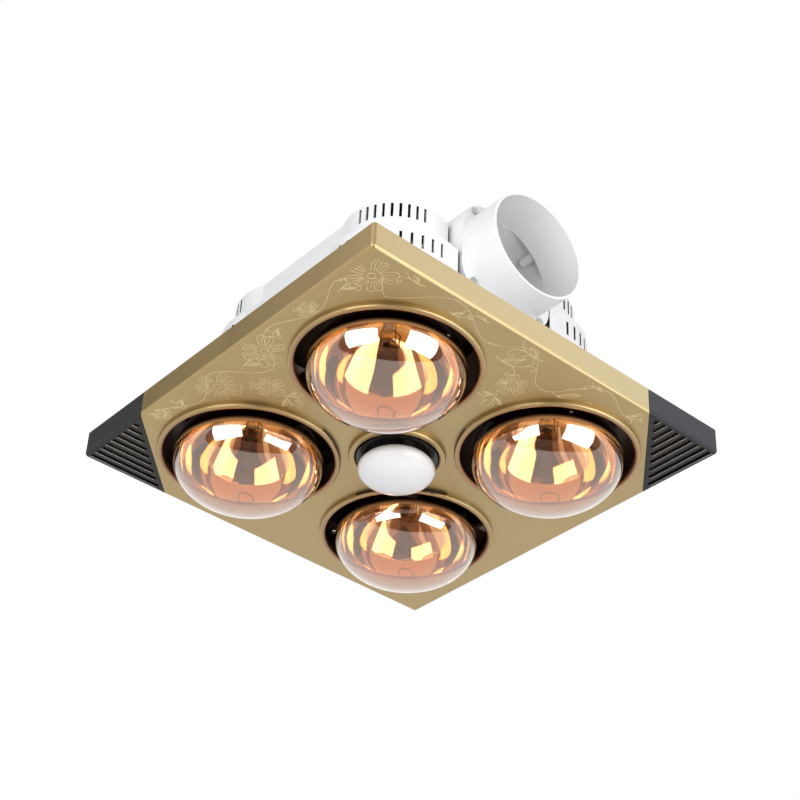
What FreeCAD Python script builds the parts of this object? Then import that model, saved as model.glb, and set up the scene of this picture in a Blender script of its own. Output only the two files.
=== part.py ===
import FreeCAD, Part
import math
import os

V = FreeCAD.Vector

# All sizes are in millimetres. Z = 0 is the ceiling's underside, +Z goes up into the
# ceiling void, and +X is the way the exhaust leaves. The panel is centred on the origin.

# Shared fits
SCREW_GAP = 0.15        # radial room round a screw in its hole
RUN_GAP = 0.05          # radial running clearance of the fan shaft
SEAT_GAP = 0.4          # room between a bulb's cap and its holder
JOINT_GAP = 0.3         # line between the panel and a corner grille

# Face panel
PANEL_SIDE = 372.0
RIM_H = 22.9
PANEL_T = 1.6
EDGE_R = 3.0
BULB_AT = 87.4          # each bulb's distance from the centre lines
LAMP_HOLE_R = 71.35
LAMP_LIP_R = 76.5
LIGHT_HOLE_R = 34.7
LIGHT_LIP_R = 40.5
LIP_DROP = 4.0
LIP_ROUND = 1.8

# Corner grilles
JOINT_DIAG = 204.0      # joint line's distance from the centre along the diagonal
GRILLE_T = 2.2
SLAT_PITCH = 7.8
SLOT_W = 4.2
SLOT_INSET = 6.5        # first slot's middle from the panel's side
SLOT_END = 3.5          # solid margin at each end of a slot
SLOT_MIN = 5.0          # shortest slot that the corner still gets
TAB_T = 2.0
TAB_W = 14.0
TAB_IN = 14.0
TAB_OVER = 4.0
STUD_R = 1.5
STUD_H = 5.8
STUD_SIDE = 34.0        # stud's distance from the diagonal
STUD_BACK = 7.0         # stud's distance inside the joint line
NUT_AF = 5.5
NUT_H = 2.4

# Panel clips
CLIP_T = 1.2
CLIP_W = 14.0
CLIP_FOOT = 14.0
CLIP_SIDE = 30.0        # clip's offset along its side of the panel
CLIP_TOP = 22.0
BARB_LOW = 10.0
BARB_TIP = 13.0
BARB_HIGH = 20.0
BARB_OUT = 4.0
WINDOW_ROOM = 1.0

# Housing: three tiers, each a rounded square with four lobes
WALL = 2.5
FLANGE_ROOM = 3.8       # gap between the flange and the grilles' rim
FLANGE_CORNER = 10.0
FLANGE_T = 2.5
CEILING_X = 312.0       # ceiling screw pattern
CEILING_Y = 120.0
CEILING_HOLE_R = 2.6
BASE_HALF = 146.0
BASE_CORNER = 60.0
BASE_TOP = 34.0
LOBE_AT = 72.0
LOW_HALF = 127.0
LOW_LOBE_R = 57.0
LOW_TOP = 92.0
HIGH_HALF = 114.0
HIGH_LOBE_R = 46.0
HIGH_TOP = 126.5
TIER_ROUND = 2.0
VENT_W = 2.4
HIGH_VENTS = 9
HIGH_VENT_TURN = 8.8    # degrees between neighbouring slots
HIGH_VENT_Z = (108.5, 123.0)
LOW_VENTS = 11
LOW_VENT_TURN = 9.2
LOW_VENT_Z = (69.5, 83.5)

# Fan
FAN_X = -6.0
FAN_Y = 26.0
SCROLL_R = 55.0         # outer radius of the scroll's first quarter
SCROLL_GROW = 7.0       # growth of that radius each quarter
SCROLL_END = 62.0       # where the scroll meets the spout
DUCT_Z = 102.0
SPOUT_HALF = 49.0
SPOUT_CORNER = 28.0
SPOUT_END = 126.0
SPOUT_ROOM = 3.0        # gap left round the spout in the housing wall
SCROLL_ROOM = 5.0       # gap left round the scroll in the housing roof
ROOF_LAP = 10.0         # how far the scroll's flange lies on the roof
INLET_R = 38.0
IMPELLER_R = 46.0
IMPELLER_LOW = 60.0
IMPELLER_HIGH = 142.0
BLADES = 24
BLADE_T = 1.6
BLADE_DEPTH = 8.0
BLADE_TURN = 28.0
RING_H = 4.0
PLATE_T = 2.5
HUB_R = 9.0
HUB_H = 24.0
SHAFT_R = 3.0
SHAFT_TAIL = 4.0        # shaft left showing below the nut
SHAFT_END_GAP = 1.0     # room over the shaft in the motor
FAN_NUT_AF = 10.0
FAN_NUT_H = 5.0
MOTOR_R = 36.0
MOTOR_H = 25.0
MOTOR_ROUND = 4.0
MOTOR_PILOT_R = 12.0
MOTOR_BORE_TOP = 18.0
EAR_COUNT = 3
EAR_R = 6.0
EAR_AT = 41.0
EAR_T = 3.0

# Duct collar
COLLAR_R = 49.0
COLLAR_T = 2.2
COLLAR_PLATE = 3.0
COLLAR_LEN = 37.0
COLLAR_SCREW_AT = 37.5
BOSS_R = 4.0
BOSS_LEN = 16.0

# Screws
SCREW_R = 1.5
HEAD_R = 3.0
HEAD_H = 2.0

# Bulbs
BULB_R = 62.5
BULB_EQUATOR = -30.5
BULB_FRONT = 38.0
NECK_R = 16.5
NECK_TOP = 66.0
GLASS_T = 1.2
CURVE_STEPS = 12        # points that each smooth profile passes through
CAP_R = 13.1
CAP_SKIRT = 2.0
CAP_SLOPE = 2.0
CAP_TOP = 86.0
CAP_CONE = 4.0
CONTACT_R = 4.5
CONTACT_H = 2.5
CAP_T = 0.8
THREADS = 4
THREAD_H = 0.5
STEM_R = 4.0
STEM_LOW = 14.0
LEAD_R = 0.8
LEAD_AT = 9.0
FILAMENT_Z = -4.0
FILAMENT_R = 1.2

# Lamp holders
HOLDER_R = 21.0
HOLDER_LIP = 1.0        # room between the cap's skirt and the holder's mouth
HOLDER_TOP = 106.0
HOLDER_ROUND = 3.0
HOLDER_SCREW_AT = 9.0
HOLDER_SCREW_LEN = 7.0
BRACKET_T = 1.5
BRACKET_W = 16.0
BRACKET_HALF = 20.0
BRACKET_FOOT = 11.0

# Heat shield and light bridge
SHIELD_T = 1.2
SHIELD_EDGE = 3.0
SHIELD_LAMP_R = 36.0
SHIELD_AIR_R = 50.0
BRIDGE_T = 1.5
BRIDGE_W = 22.0
BRIDGE_FLAT = 45.0
BRIDGE_RISE = 120.0

# Centre light
LENS_R = 32.0
LENS_HALF_H = 14.0
LENS_Z = -38.0
LENS_T = 2.0
LENS_NECK_R = 26.0
LENS_NECK_TOP = -16.0
LENS_GAP = 0.3
RING_R = 34.0
RING_LOW = -26.9
RING_TOP = -12.5
CUP_R = 38.0
CUP_T = 1.5
CUP_LOW = -14.0
CUP_TOP = 6.0
RING_LEDGE = 2.0
BOARD_R = 33.0
BOARD_T = 1.6
DRIVER_X = 40.0
DRIVER_Y = 26.0
DRIVER_H = 10.0
LIGHT_SCREW_AT = 25.0

# Wiring
TERM_Y = 36.0
TERM_Z = (42.0, 84.0)
TERM_DEPTH = 19.0
TERM_WALL = 2.0
TERM_LID = 1.5
TERM_BOSS_R = 4.0
BLOCK_Y = 36.0
BLOCK_Z = 16.0
BLOCK_DEPTH = 11.0
BLOCK_WAYS = 5
WAY_R = 2.0
WAY_DEPTH = 4.0
GLAND_Y = -22.0
GLAND_BORE_R = 4.0
GLAND_THREAD_R = 6.0
GLAND_HEX_AF = 14.0
GLAND_HEX_H = 4.0
GLAND_CAP_R = 7.2
GLAND_CAP_H = 9.0
GLAND_TAIL = 7.0
GLAND_NUT_H = 4.0
WIRE_Y = 26.0
WIRE_HOLE_R = 5.5
WIRE_BORE_R = 3.5
WIRE_LIP = 1.5

# Positions that follow from the sizes above
PANEL_HALF = PANEL_SIDE / 2
FACE_IN = PANEL_T - RIM_H
BULB_TIP = BULB_EQUATOR - BULB_FRONT
LEDGE_Z = BASE_TOP - WALL
ROOF_IN = HIGH_TOP - WALL
SCROLL_LOW = DUCT_Z - SPOUT_HALF
SCROLL_TOP = DUCT_Z + SPOUT_HALF
CAP_END = CAP_TOP + CAP_CONE + CONTACT_H
HOLDER_LOW = NECK_TOP + CAP_SKIRT + CAP_SLOPE + HOLDER_LIP
COLLAR_FACE = SPOUT_END + COLLAR_PLATE
SHIELD_LOW = LEDGE_Z - SHIELD_T
FLANGE_HALF = PANEL_HALF - GRILLE_T - FLANGE_ROOM
SHIELD_HALF = BASE_HALF - WALL - SHIELD_EDGE
SHIELD_SCREW_AT = (BRIDGE_RISE + SHIELD_HALF) / 2
BRIDGE_END_Z = SHIELD_LOW - BRIDGE_T
CORNERS = {"near": (1, -1), "right": (1, 1), "far": (-1, 1), "left": (-1, -1)}


def box(x, y, z):
    """A box from its three (low, high) spans."""
    size = (x[1] - x[0], y[1] - y[0], z[1] - z[0])
    return Part.makeBox(*size, V(x[0], y[0], z[0]))


def span(middle, width):
    """The (low, high) span of a width about its middle."""
    return (middle - width / 2, middle + width / 2)


def rod(radius, low, high, x=0.0, y=0.0):
    """An upright cylinder between two heights."""
    return Part.makeCylinder(radius, high - low, V(x, y, low))


def rod_x(radius, low, high, y=0.0, z=0.0):
    """A cylinder along X between two stations."""
    return Part.makeCylinder(radius, high - low, V(low, y, z), V(1, 0, 0))


def tube(outer, inner, low, high, x=0.0, y=0.0):
    return rod(outer, low, high, x, y).cut(rod(inner, low, high, x, y))


def fuse(shapes):
    """One clean solid from shapes that touch or overlap."""
    shapes = list(shapes)
    if len(shapes) == 1:
        return shapes[0]
    return shapes[0].multiFuse(shapes[1:]).removeSplitter()


def cut(shape, tools):
    return shape.cut(Part.makeCompound(list(tools)))


def turned(shape, degrees, x=0.0, y=0.0):
    """A copy turned about the upright line through (x, y)."""
    copy = shape.copy()
    copy.rotate(V(x, y, 0), V(0, 0, 1), degrees)
    return copy


def moved(shape, x=0.0, y=0.0, z=0.0):
    copy = shape.copy()
    copy.translate(V(x, y, z))
    return copy


def revolved(edges):
    """A solid turned about Z from a closed profile in the XZ plane."""
    face = Part.Face(Part.Wire(edges))
    return face.revolve(V(0, 0, 0), V(0, 0, 1), 360)


def line(a, b):
    return Part.makeLine(V(a[0], 0, a[1]), V(b[0], 0, b[1]))


def outline(points):
    """Straight edges through (radius, height) points, closed at the end."""
    return [line(a, b) for a, b in zip(points, points[1:] + points[:1])]


def prism(points, depth):
    """A solid whose (x, z) outline is drawn out by depth along Y, half each way."""
    face = Part.Face(Part.Wire(outline(points)))
    return moved(face, y=-depth / 2).extrude(V(0, depth, 0))


def hexagon(across, low, high, x=0.0, y=0.0):
    """A six-sided upright prism by its width across flats."""
    radius = across / math.sqrt(3)
    ring = [V(x + radius * math.cos(k * math.pi / 3), y + radius * math.sin(k * math.pi / 3), low)
            for k in range(7)]
    return Part.Face(Part.makePolygon(ring)).extrude(V(0, 0, high - low))


def rounded_square(half, corner, low, high):
    """An upright prism with a square plan and rounded corners."""
    block = box((-half, half), (-half, half), (low, high))
    return block.makeFillet(corner, upright_edges(block))


def upright_edges(shape):
    return [e for e in shape.Edges if abs(e.tangentAt(e.FirstParameter).z) > 1 - 1e-6]


def edges_at(shape, height):
    """Edges that lie wholly at one height."""
    flat = []
    for edge in shape.Edges:
        bound = edge.BoundBox
        if abs(bound.ZMin - height) < 1e-4 and abs(bound.ZMax - height) < 1e-4:
            flat.append(edge)
    return flat


def screw(x, y, seat, length, up=1):
    """A pan-head screw with its head on the seat and its shank the other way."""
    head = Part.makeCylinder(HEAD_R, HEAD_H, V(x, y, seat), V(0, 0, up))
    shank = Part.makeCylinder(SCREW_R, length, V(x, y, seat), V(0, 0, -up))
    return fuse([head, shank])


def screw_x(y, z, seat, length, way):
    """A screw along X, its head on the side that way points to."""
    head = Part.makeCylinder(HEAD_R, HEAD_H, V(seat, y, z), V(way, 0, 0))
    shank = Part.makeCylinder(SCREW_R, length, V(seat, y, z), V(-way, 0, 0))
    return fuse([head, shank])


def screw_hole(x, y, low, high):
    return rod(SCREW_R + SCREW_GAP, low, high, x, y)


def to_diagonal(shape, corner):
    """Turns a shape made along +X so that it lies along a corner's diagonal."""
    sx, sy = corner
    return turned(shape, math.degrees(math.atan2(sy, sx)))


def pan(half, thickness):
    """The face panel's outline as a shallow tray, open at the top."""
    outer = box((-half, half), (-half, half), (-RIM_H, 0))
    outer = outer.makeFillet(EDGE_R, edges_at(outer, -RIM_H) + upright_edges(outer))
    room = half - thickness
    inner = box((-room, room), (-room, room), (thickness - RIM_H, EDGE_R))
    low = thickness - RIM_H
    inside = EDGE_R - thickness
    inner = inner.makeFillet(inside, edges_at(inner, low) + upright_edges(inner))
    return outer.cut(inner)


def corner_side(corner, start):
    """All space farther out along a corner's diagonal than start."""
    block = box((start, 2 * PANEL_SIDE), span(0, 2 * PANEL_SIDE), span(0, PANEL_SIDE))
    return to_diagonal(block, corner)


def lip(outer, inner, x, y):
    """A raised ring that stands down from the panel's face."""
    low = -RIM_H - LIP_DROP
    ring = tube(outer, inner, low, -RIM_H + PANEL_T, x, y)
    return ring.makeFillet(LIP_ROUND, edges_at(ring, low))


def stud_places(corner):
    """Where the studs for one grille stand, on either side of its diagonal."""
    along = JOINT_DIAG - STUD_BACK
    turn = math.atan2(corner[1], corner[0])
    for side in (-STUD_SIDE, STUD_SIDE):
        x = along * math.cos(turn) - side * math.sin(turn)
        y = along * math.sin(turn) + side * math.cos(turn)
        yield x, y


def grille_corners():
    return [CORNERS["left"], CORNERS["right"]]


def face_panel():
    panel = pan(PANEL_HALF, PANEL_T)
    panel = cut(panel, [corner_side(c, JOINT_DIAG) for c in grille_corners()])
    deep = (-2 * RIM_H, RIM_H)
    holes = [rod(LAMP_HOLE_R, *deep, sx * BULB_AT, sy * BULB_AT) for sx, sy in CORNERS.values()]
    panel = cut(panel, holes + [rod(LIGHT_HOLE_R, *deep)])
    lips = [lip(LAMP_LIP_R, LAMP_HOLE_R, sx * BULB_AT, sy * BULB_AT) for sx, sy in CORNERS.values()]
    lips.append(lip(LIGHT_LIP_R, LIGHT_HOLE_R, 0, 0))
    studs = [rod(STUD_R, FACE_IN - PANEL_T / 2, FACE_IN + STUD_H, x, y)
             for c in grille_corners() for x, y in stud_places(c)]
    return fuse([panel] + lips + studs)


def grille_slots():
    """Slots of the left grille along Y, as many as end before the joint line."""
    reach = (JOINT_DIAG + JOINT_GAP) * math.sqrt(2)
    low = -PANEL_HALF + SLOT_END
    first = -PANEL_HALF + SLOT_INSET
    longest = -(reach + first) - SLOT_END - SLOT_W / 2 - low
    count = 1 + math.floor((longest - SLOT_MIN) / SLAT_PITCH)
    for k in range(count):
        step = k * SLAT_PITCH
        yield box(span(first + step, SLOT_W), (low, low + longest - step), (-2 * RIM_H, -RIM_H / 2))


def grille_tabs(corner):
    """Tabs that lie on the panel's inner face over its studs."""
    start = JOINT_DIAG - TAB_IN
    end = JOINT_DIAG + TAB_OVER
    tabs = []
    for side in (-STUD_SIDE, STUD_SIDE):
        tab = box((start, end), span(side, TAB_W), (FACE_IN, FACE_IN + TAB_T))
        tabs.append(to_diagonal(tab, corner))
    holes = [screw_hole(x, y, -RIM_H, 0) for x, y in stud_places(corner)]
    return [cut(tab, holes) for tab in tabs]


def grille_left():
    corner = CORNERS["left"]
    shell = pan(PANEL_HALF, GRILLE_T).common(corner_side(corner, JOINT_DIAG + JOINT_GAP))
    shell = cut(shell, grille_slots())
    return fuse([shell] + grille_tabs(corner))


def grille_right(left):
    """The left grille's mirror image in the near-far diagonal."""
    return left.mirror(V(0, 0, 0), V(1, 1, 0).normalize())


def grille_nuts():
    low = FACE_IN + TAB_T
    nuts = []
    for corner in grille_corners():
        for x, y in stud_places(corner):
            nut = hexagon(NUT_AF, low, low + NUT_H, x, y)
            nuts.append(nut.cut(screw_hole(x, y, low, low + NUT_H)))
    return Part.makeCompound(nuts)


def clip_turns():
    return [90 * k for k in range(4)]


def panel_clips():
    """Bent leaf clips whose barbs spring into windows in the housing wall."""
    wall_in = BASE_HALF - WALL
    back = wall_in - WALL
    front = back - CLIP_T
    foot = box((back - CLIP_FOOT, back), span(CLIP_SIDE, CLIP_W), (FACE_IN, FACE_IN + CLIP_T))
    leg = box((front, back), span(CLIP_SIDE, CLIP_W), (FACE_IN, CLIP_TOP))
    wedge = [(front, BARB_LOW), (back, BARB_LOW), (back + BARB_OUT, BARB_TIP), (back, BARB_HIGH),
             (front, BARB_HIGH)]
    barb = moved(prism(wedge, CLIP_W), y=CLIP_SIDE)
    clip = fuse([foot, leg, barb])
    return Part.makeCompound([turned(clip, a) for a in clip_turns()])


def clip_windows():
    wide = CLIP_W + 2 * WINDOW_ROOM
    tall = (BARB_LOW - WINDOW_ROOM, BARB_HIGH + WINDOW_ROOM)
    window = box((BASE_HALF - 2 * WALL, BASE_HALF + WALL), span(CLIP_SIDE, wide), tall)
    return [turned(window, a) for a in clip_turns()]


def tier(half, lobe_r, low, high, trim):
    """One tier: a rounded square with a lobe at each corner, less trim all round."""
    corner = half - LOBE_AT
    parts = [rounded_square(half - trim, corner - trim, low, high)]
    parts += [rod(lobe_r - trim, low, high, sx * LOBE_AT, sy * LOBE_AT)
              for sx, sy in CORNERS.values()]
    return fuse(parts)


def rounded_top(shape, height):
    return shape.makeFillet(TIER_ROUND, edges_at(shape, height))


def housing_blank():
    base = rounded_top(rounded_square(BASE_HALF, BASE_CORNER, -FLANGE_T, BASE_TOP), BASE_TOP)
    flange = rounded_square(FLANGE_HALF, FLANGE_CORNER, -FLANGE_T, 0)
    low = rounded_top(tier(LOW_HALF, LOW_LOBE_R, LEDGE_Z, LOW_TOP, 0), LOW_TOP)
    high = rounded_top(tier(HIGH_HALF, HIGH_LOBE_R, LOW_TOP - WALL, HIGH_TOP, 0), HIGH_TOP)
    pad = box((-term_seat(), WALL - LOW_HALF), (-TERM_Y, TERM_Y), TERM_Z)
    return fuse([base, flange, low, high, pad])


def housing_room():
    floor = -2 * FLANGE_T
    base = rounded_square(BASE_HALF - WALL, BASE_CORNER - WALL, floor, LEDGE_Z)
    low = tier(LOW_HALF, LOW_LOBE_R, 0, LOW_TOP - WALL, WALL)
    high = tier(HIGH_HALF, HIGH_LOBE_R, 0, ROOF_IN, WALL)
    return fuse([base, low, high])


def vents(count, step, lobe_r, heights, corner):
    """A row of upright slots fanned about a lobe's outward side."""
    sx, sy = corner
    x, y = sx * LOBE_AT, sy * LOBE_AT
    facing = math.degrees(math.atan2(sy, sx))
    slot = box((x + lobe_r - 2 * WALL, x + lobe_r + WALL), span(y, VENT_W), heights)
    middle = (count - 1) / 2
    return [turned(slot, facing + (k - middle) * step, x, y) for k in range(count)]


def all_vents():
    slots = []
    for corner in CORNERS.values():
        slots += vents(HIGH_VENTS, HIGH_VENT_TURN, HIGH_LOBE_R, HIGH_VENT_Z, corner)
        slots += vents(LOW_VENTS, LOW_VENT_TURN, LOW_LOBE_R, LOW_VENT_Z, corner)
    return slots


def roof_openings():
    """Room in the roof and the exhaust wall for the scroll and its spout."""
    over = HIGH_TOP + WALL
    side = SPOUT_HALF + SPOUT_ROOM
    notch = box((0, BASE_HALF), (-side, side), (SCROLL_LOW - SPOUT_ROOM, over))
    x, y = scroll_reach(SCROLL_ROOM)
    well = box(x, y, (ROOF_IN - WALL, over))
    return [notch, well]


def housing_holes():
    holes = [rod(CEILING_HOLE_R, -2 * FLANGE_T, FLANGE_T, sx * CEILING_X / 2, sy * CEILING_Y / 2)
             for sx, sy in CORNERS.values()]
    holes += [screw_hole(x, y, ROOF_IN - WALL, HIGH_TOP + WALL) for x, y in scroll_screw_places()]
    holes += [screw_hole(x, y, ROOF_IN - WALL, HIGH_TOP + WALL) for x, y in foot_screw_places()]
    holes += [screw_hole(x, y, LEDGE_Z - WALL, BASE_TOP + WALL) for x, y in shield_screw_places()]
    wall = (-term_seat() - WALL, -LOW_HALF + 2 * WALL)
    middle = sum(TERM_Z) / 2
    holes.append(rod_x(WIRE_HOLE_R, *wall, WIRE_Y, middle))
    holes += [rod_x(SCREW_R + SCREW_GAP, *wall, y, z) for y, z in box_screw_places()]
    return holes


def housing():
    shell = housing_blank().cut(housing_room())
    return cut(shell, all_vents() + clip_windows() + roof_openings() + housing_holes())


def scroll_reach(room):
    """The (x, y) spans of the scroll's plan with room all round."""
    left = FAN_X - SCROLL_R - SCROLL_GROW
    top = FAN_Y + SCROLL_R
    return (left - room, SCROLL_END + room), (-SPOUT_HALF - room, top + room)


def scroll_plan(trim, low, high):
    """The scroll's growing spiral as an upright prism, less trim all round."""
    first = SCROLL_R - trim
    radii = [first, first + SCROLL_GROW, first + 2 * SCROLL_GROW]
    centres = [V(FAN_X, FAN_Y, low), V(FAN_X, FAN_Y - SCROLL_GROW, low),
               V(FAN_X + SCROLL_GROW, FAN_Y - SCROLL_GROW, low)]
    quarters = [quarter(c, r, 90 * k) for k, (c, r) in enumerate(zip(centres, radii))]
    end = SCROLL_END - trim
    bottom = quarters[-1].valueAt(quarters[-1].LastParameter)
    start = quarters[0].valueAt(quarters[0].FirstParameter)
    corners = [bottom, V(end, bottom.y, low), V(end, start.y, low), start]
    sides = [Part.makeLine(a, b) for a, b in zip(corners, corners[1:])]
    return Part.Face(Part.Wire(quarters + sides)).extrude(V(0, 0, high - low))


def quarter(centre, radius, start):
    """A quarter circle that starts at an angle and runs anticlockwise."""
    circle = Part.Circle(centre, V(0, 0, 1), radius)
    return circle.toShape(math.radians(start), math.radians(start + 90))


def spout(trim, start, end):
    """The rounded square spout as a block along X, less trim all round."""
    half = SPOUT_HALF - trim
    block = rounded_square(half, SPOUT_CORNER - trim, start, end)
    block.rotate(V(0, 0, 0), V(0, 1, 0), 90)
    return moved(block, z=DUCT_Z)


def scroll_flange():
    """Plate that rests on the roof round the scroll."""
    x, y = scroll_reach(SCROLL_ROOM + ROOF_LAP)
    return box((x[0], SCROLL_END), y, (HIGH_TOP, HIGH_TOP + WALL))


def scroll_screw_places():
    x, y = scroll_reach(SCROLL_ROOM + ROOF_LAP / 2)
    return [(px, py) for px in (x[0], SCROLL_END - ROOF_LAP) for py in y]


def motor_ears():
    return [(FAN_X + EAR_AT * math.cos(t), FAN_Y + EAR_AT * math.sin(t))
            for t in [2 * math.pi * k / EAR_COUNT for k in range(EAR_COUNT)]]


def collar_screw_places():
    reach = (-COLLAR_SCREW_AT, COLLAR_SCREW_AT)
    return [(y, DUCT_Z + z) for y in reach for z in reach]


def fan_scroll():
    scroll = scroll_plan(0, SCROLL_LOW, SCROLL_TOP)
    body = fuse([scroll, spout(0, SCROLL_END - WALL, SPOUT_END), scroll_flange()])
    room = scroll_plan(WALL, SCROLL_LOW + WALL, SCROLL_TOP - WALL)
    body = cut(body, [fuse([room, spout(WALL, SCROLL_END - 2 * WALL, SPOUT_END + WALL)])])
    bosses = [rod_x(BOSS_R, SPOUT_END - BOSS_LEN, SPOUT_END, y, z) for y, z in collar_screw_places()]
    bosses = [b.common(spout(0, SCROLL_END, SPOUT_END)) for b in bosses]
    body = fuse([body] + bosses)
    holes = [rod(INLET_R, SCROLL_LOW - WALL, SCROLL_LOW + 2 * WALL, FAN_X, FAN_Y)]
    holes.append(rod(MOTOR_PILOT_R + SCREW_GAP, SCROLL_TOP - 2 * WALL, SCROLL_TOP + WALL, FAN_X, FAN_Y))
    holes += [screw_hole(x, y, SCROLL_TOP - 2 * WALL, SCROLL_TOP + WALL) for x, y in motor_ears()]
    holes += [screw_hole(x, y, HIGH_TOP - WALL, HIGH_TOP + 2 * WALL) for x, y in scroll_screw_places()]
    holes += [rod_x(SCREW_R + SCREW_GAP, SPOUT_END - BOSS_LEN + WALL, SPOUT_END + WALL, y, z)
              for y, z in collar_screw_places()]
    return cut(body, holes)


def scroll_screws():
    seat = HIGH_TOP + WALL
    return Part.makeCompound([screw(x, y, seat, 2 * WALL) for x, y in scroll_screw_places()])


def motor():
    top = SCROLL_TOP + MOTOR_H
    can = rod(MOTOR_R, SCROLL_TOP, top, FAN_X, FAN_Y)
    can = can.makeFillet(MOTOR_ROUND, edges_at(can, top))
    pilot = rod(MOTOR_PILOT_R, SCROLL_TOP - WALL, SCROLL_TOP, FAN_X, FAN_Y)
    ears = [rod(EAR_R, SCROLL_TOP, SCROLL_TOP + EAR_T, x, y) for x, y in motor_ears()]
    body = fuse([can, pilot] + ears)
    bore_top = SCROLL_TOP + MOTOR_BORE_TOP
    bores = [rod(SHAFT_R + RUN_GAP, SCROLL_TOP - 2 * WALL, bore_top, FAN_X, FAN_Y)]
    bores += [screw_hole(x, y, SCROLL_TOP, SCROLL_TOP + EAR_T) for x, y in motor_ears()]
    return cut(body, bores)


def motor_screws():
    seat = SCROLL_TOP + EAR_T
    return Part.makeCompound([screw(x, y, seat, EAR_T + WALL) for x, y in motor_ears()])


def motor_shaft():
    low = IMPELLER_HIGH - HUB_H - FAN_NUT_H - SHAFT_TAIL
    return rod(SHAFT_R, low, SCROLL_TOP + MOTOR_BORE_TOP - SHAFT_END_GAP, FAN_X, FAN_Y)


def impeller():
    """A drum of forward-leaning blades between a ring and a back plate."""
    plate = rod(IMPELLER_R, IMPELLER_HIGH - PLATE_T, IMPELLER_HIGH, FAN_X, FAN_Y)
    ring = tube(IMPELLER_R, IMPELLER_R - BLADE_DEPTH, IMPELLER_LOW, IMPELLER_LOW + RING_H, FAN_X, FAN_Y)
    hub = rod(HUB_R, IMPELLER_HIGH - HUB_H, IMPELLER_HIGH, FAN_X, FAN_Y)
    middle = FAN_X + IMPELLER_R - BLADE_DEPTH / 2
    tall = (IMPELLER_LOW + RING_H / 2, IMPELLER_HIGH - PLATE_T / 2)
    blade = box(span(middle, BLADE_DEPTH), span(FAN_Y, BLADE_T), tall)
    blade = turned(blade, BLADE_TURN, middle, FAN_Y).common(plate_space())
    blades = [turned(blade, 360 * k / BLADES, FAN_X, FAN_Y) for k in range(BLADES)]
    drum = fuse([plate, ring, hub] + blades)
    return drum.cut(rod(SHAFT_R + RUN_GAP, IMPELLER_LOW, IMPELLER_HIGH, FAN_X, FAN_Y))


def plate_space():
    """The drum's whole cylinder, which trims the blades' outer ends."""
    return rod(IMPELLER_R, IMPELLER_LOW, IMPELLER_HIGH, FAN_X, FAN_Y)


def impeller_nut():
    high = IMPELLER_HIGH - HUB_H
    low = high - FAN_NUT_H
    nut = hexagon(FAN_NUT_AF, low, high, FAN_X, FAN_Y)
    return nut.cut(rod(SHAFT_R + RUN_GAP, low, high, FAN_X, FAN_Y))


def duct_collar():
    plate = spout(0, SPOUT_END, COLLAR_FACE)
    neck = rod_x(COLLAR_R, SPOUT_END, COLLAR_FACE + COLLAR_LEN, 0, DUCT_Z)
    body = fuse([plate, neck])
    ends = (SPOUT_END - WALL, COLLAR_FACE + COLLAR_LEN + WALL)
    holes = [rod_x(COLLAR_R - COLLAR_T, *ends, 0, DUCT_Z)]
    holes += [rod_x(SCREW_R + SCREW_GAP, *ends, y, z) for y, z in collar_screw_places()]
    return cut(body, holes)


def collar_screws():
    length = COLLAR_PLATE + BOSS_LEN - 2 * WALL
    return Part.makeCompound([screw_x(y, z, COLLAR_FACE, length, 1) for y, z in collar_screw_places()])


def on_bulb(shape, corner):
    """Moves a shape made on the Z axis to one bulb, turned to face outward."""
    placed = to_diagonal(shape, corner)
    return moved(placed, corner[0] * BULB_AT, corner[1] * BULB_AT)


def bowl(trim):
    """The bulb's flank from its widest ring to its neck, as one smooth curve."""
    rise = NECK_TOP - BULB_EQUATOR
    points = []
    for k in range(CURVE_STEPS + 1):
        t = k / CURVE_STEPS
        swell = (1 + math.cos(math.pi * t)) / 2
        points.append(V(NECK_R - trim + (BULB_R - NECK_R) * swell, 0, BULB_EQUATOR + rise * t))
    return smooth(points, V(0, 0, 1), V(0, 0, 1))


def front(trim):
    """The bulb's domed front from its tip to its widest ring."""
    return dome(BULB_R - trim, BULB_FRONT - trim, BULB_EQUATOR, math.pi / 2)


def smooth(points, start, end):
    """A curve through points that sets out and arrives along two given directions."""
    curve = Part.BSplineCurve()
    curve.interpolate(points, InitialTangent=start, FinalTangent=end, Scale=True)
    return curve.toShape()


def dome(wide, deep, height, sweep):
    """Part of an ellipse in the XZ plane, swept round from its lowest point on the axis."""
    points = []
    for k in range(CURVE_STEPS + 1):
        t = sweep * k / CURVE_STEPS
        points.append(V(wide * math.sin(t), 0, height - deep * math.cos(t)))
    return smooth(points, V(1, 0, 0), V(wide * math.cos(sweep), 0, deep * math.sin(sweep)).normalize())


def bulb_body(trim):
    """The bulb as a full solid, less trim all round."""
    mouth = line((NECK_R - trim, NECK_TOP), (0, NECK_TOP))
    middle = line((0, NECK_TOP), (0, BULB_TIP + trim))
    return revolved(Part.__sortEdges__([front(trim), bowl(trim), mouth, middle]))


def bulb_glass():
    return bulb_body(0).cut(bulb_body(GLASS_T))


def cap_profile(trim):
    """The screw cap's (radius, height) outline, less trim on its outside."""
    shoulder = NECK_TOP + CAP_SKIRT
    points = [(0, NECK_TOP), (NECK_R - trim, NECK_TOP), (NECK_R - trim, shoulder - trim)]
    points += [(CAP_R - trim, shoulder + CAP_SLOPE - trim), (CAP_R - trim, CAP_TOP - trim)]
    points += [(CONTACT_R * 2 - trim, CAP_TOP + CAP_CONE - trim), (0, CAP_TOP + CAP_CONE - trim)]
    return points


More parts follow.
